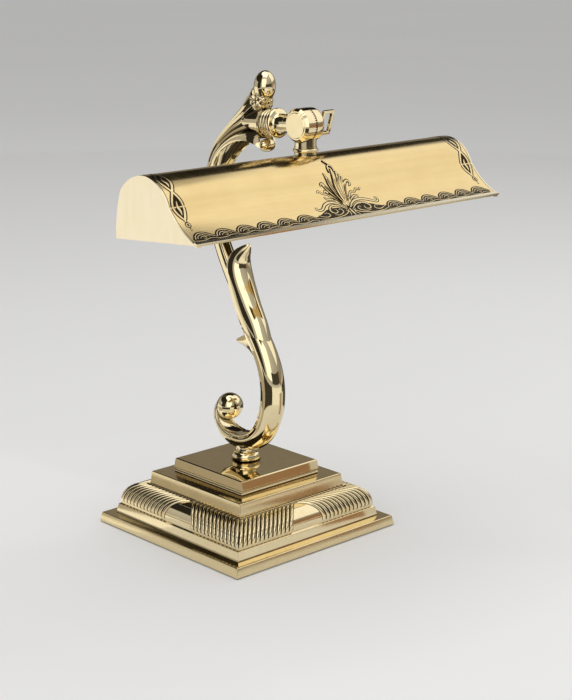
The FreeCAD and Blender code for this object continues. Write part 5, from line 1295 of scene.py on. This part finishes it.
PALMETTE_LEAVES = (
    ((-4, 24, 0.4), (-9.5, 28.2, 0.8), (-13.6, 31.6, 0.7), (-17.4, 33.2, 0.7), (-20.4, 35.6, 0.7),
     (-22, 33.6, 0.4)),
    ((5, 24, 0.4), (10.8, 27.8, 0.8), (14.8, 31, 0.7), (18, 30.2, 0.6), (21, 32.8, 0.7), (24, 31.8, 0.6),
     (26.2, 33.6, 0.4)),
    ((-1.2, 17, 0.4), (-5.4, 25, 1.4), (-9.8, 31.4, 1.7), (-13.4, 34.8, 0.8), (-14.2, 32.8, 0.4)),
    ((-1, 17.5, 0.5), (-4.8, 28, 1.6), (-9.4, 36.6, 2), (-13.8, 41.6, 1), (-15, 39.6, 0.4)),
    ((1.8, 17, 0.5), (6, 26.8, 1.4), (9, 34.6, 1.7), (12.8, 39.8, 1.6), (16.4, 41.2, 1.2),
     (18, 38.4, 0.9), (15.8, 36.6, 0.4)),
    ((1.4, 17.2, 0.5), (5.6, 28, 1.5), (9, 38, 1.5), (11.4, 45.6, 0.5)),
    ((-0.6, 18, 0.5), (-2.6, 30, 1.7), (-4.8, 42, 2), (-7, 50.6, 0.5)),
    ((1, 17.6, 0.5), (4.4, 30, 1.6), (7.6, 40, 1.6), (9.4, 48, 0.5)),
    ((0.8, 18, 0.5), (3.4, 30, 1.7), (5.6, 41, 1.9), (7.2, 50.8, 0.5)),
    ((0.2, 16, 0.7), (1, 28, 2), (2, 40, 2.6), (3, 49, 2), (3.2, 53.6, 0.6)),
    ((0, 50.2, 0.4), (0.8, 55, 0.9), (3.4, 57.2, 1.1), (5.6, 54.6, 0.9), (5.2, 50.8, 0.4)),
    ((3, 58.6, 0.3), (2.4, 60.2, 0.7), (1.5, 61.8, 0.7), (0.8, 63.4, 0.3)))
PALMETTE_FIELDS = (
    ((-42, 7.2, 2.2), (-32, 8.6, 3.8), (-22, 10.6, 6), (-12, 10.6, 6.2), (0, 10, 6), (12, 10.6, 6.2),
     (22, 10.6, 6), (32, 8.8, 4), (42, 7.2, 2.2)),)
PALMETTE_VEINS = (
    ((0.6, 20, 0.16), (1.4, 32, 0.2), (2.4, 44, 0.16)),
    ((-1.4, 22, 0.16), (-3.4, 34, 0.2), (-5.4, 45, 0.16)),
    ((2.2, 24, 0.16), (4.4, 35, 0.2), (6, 45, 0.16)),
    ((-2.6, 22, 0.16), (-6.8, 32, 0.2), (-11, 39, 0.16)),
    ((4, 22, 0.16), (7.6, 31, 0.2), (11.4, 38.6, 0.16)),
    ((-3, 20, 0.16), (-7, 27.4, 0.2), (-11, 32.4, 0.16)))
SMALL_SCROLLS = (
    ((-40, 8.4, 0.3), (-33, 6, 0.55), (-24, 5.4, 0.6), (-14, 6.6, 0.6), (-6, 9.4, 0.6), (-2, 13, 0.3)),
    ((41, 8.4, 0.3), (34, 6, 0.55), (24, 5.4, 0.6), (14, 6.6, 0.6), (6, 9.4, 0.6), (2, 13, 0.3)),
    ((-37, 11, 0.3), (-33, 9, 0.5), (-28.4, 8.2, 0.55), (-25, 10.4, 0.5), (-27.2, 13, 0.4),
     (-30, 12, 0.3)),
    ((38.6, 11, 0.3), (34.4, 9, 0.5), (29.4, 8.2, 0.55), (26.4, 10.4, 0.5), (28.6, 13, 0.4),
     (31.4, 12, 0.3)),
    ((-20.4, 9.2, 0.3), (-16, 8.4, 0.5), (-11.4, 9.8, 0.55), (-8.6, 12.8, 0.55), (-10.2, 15.2, 0.45),
     (-12.4, 13.8, 0.3)),
    ((20.8, 8.8, 0.3), (16.4, 8.2, 0.5), (11.8, 9.6, 0.55), (9, 12.4, 0.55), (10.6, 14.8, 0.45),
     (12.8, 13.4, 0.3)),
    ((-5.4, 5.4, 0.3), (-3.4, 8.4, 0.55), (-3.6, 11.4, 0.5), (-5.6, 12.6, 0.3)),
    ((5.4, 5.4, 0.3), (3.4, 8.4, 0.55), (3.6, 11.4, 0.5), (5.6, 12.6, 0.3)),
    ((0, 4.8, 0.4), (0.1, 8, 1.2), (0, 11, 1.2), (0, 14.4, 0.4)))
chase("palmette_scrolls", "palmette_scroll_lines",
      ornament(PALMETTE_CURLS + SMALL_SCROLLS, PALMETTE_FIELDS, layer=0.0), standing_leaf)
chase("palmette_leaves", "palmette_leaf_lines",
      ornament(PALMETTE_LEAVES, (), PALMETTE_VEINS, outline=0.45), satin_shade)


# ---------------- lampholders and lamps
# Two moulded lampholders are nutted to the ears of a steel bracket, and hold tubular
# lamps end to end under the crown. Caps are aluminium and the glass is clear.
cap_metal = grained("lamp_cap_metal", (0.72, 0.72, 0.70), (0.6, 0.6, 0.58), (0.2, 0.32),
                    200.0, 1400.0, 0.15, metallic=1.0)
lamp_glass, tree = new_material("lamp_glass", (0.9, 0.92, 0.92))
ripple = speckle(tree, put(tree, "ShaderNodeTexCoord").outputs["Object"], 90.0, 2.0)
finish_material(tree, {"Base Color": (0.97, 0.98, 0.98, 1), "Metallic": 0.0, "IOR": 1.5,
                       "Transmission Weight": 1.0, "Roughness": spread(tree, ripple, 0, 1, 0.02, 0.08),
                       "Normal": bumped(tree, ripple, 0.05, 0.0004)})
filament_mount = grained("filament_mount", (0.75, 0.77, 0.78), (0.55, 0.57, 0.6), (0.1, 0.2),
                         200.0, 1400.0, 0.1)
dress(moulded_resin, "lampholder_left", "lampholder_right")
dress(cap_metal, "lamp_cap_left", "lamp_cap_right")
dress(lamp_glass, "lamp_glass_left", "lamp_glass_right")
dress(filament_mount, "lamp_filaments")
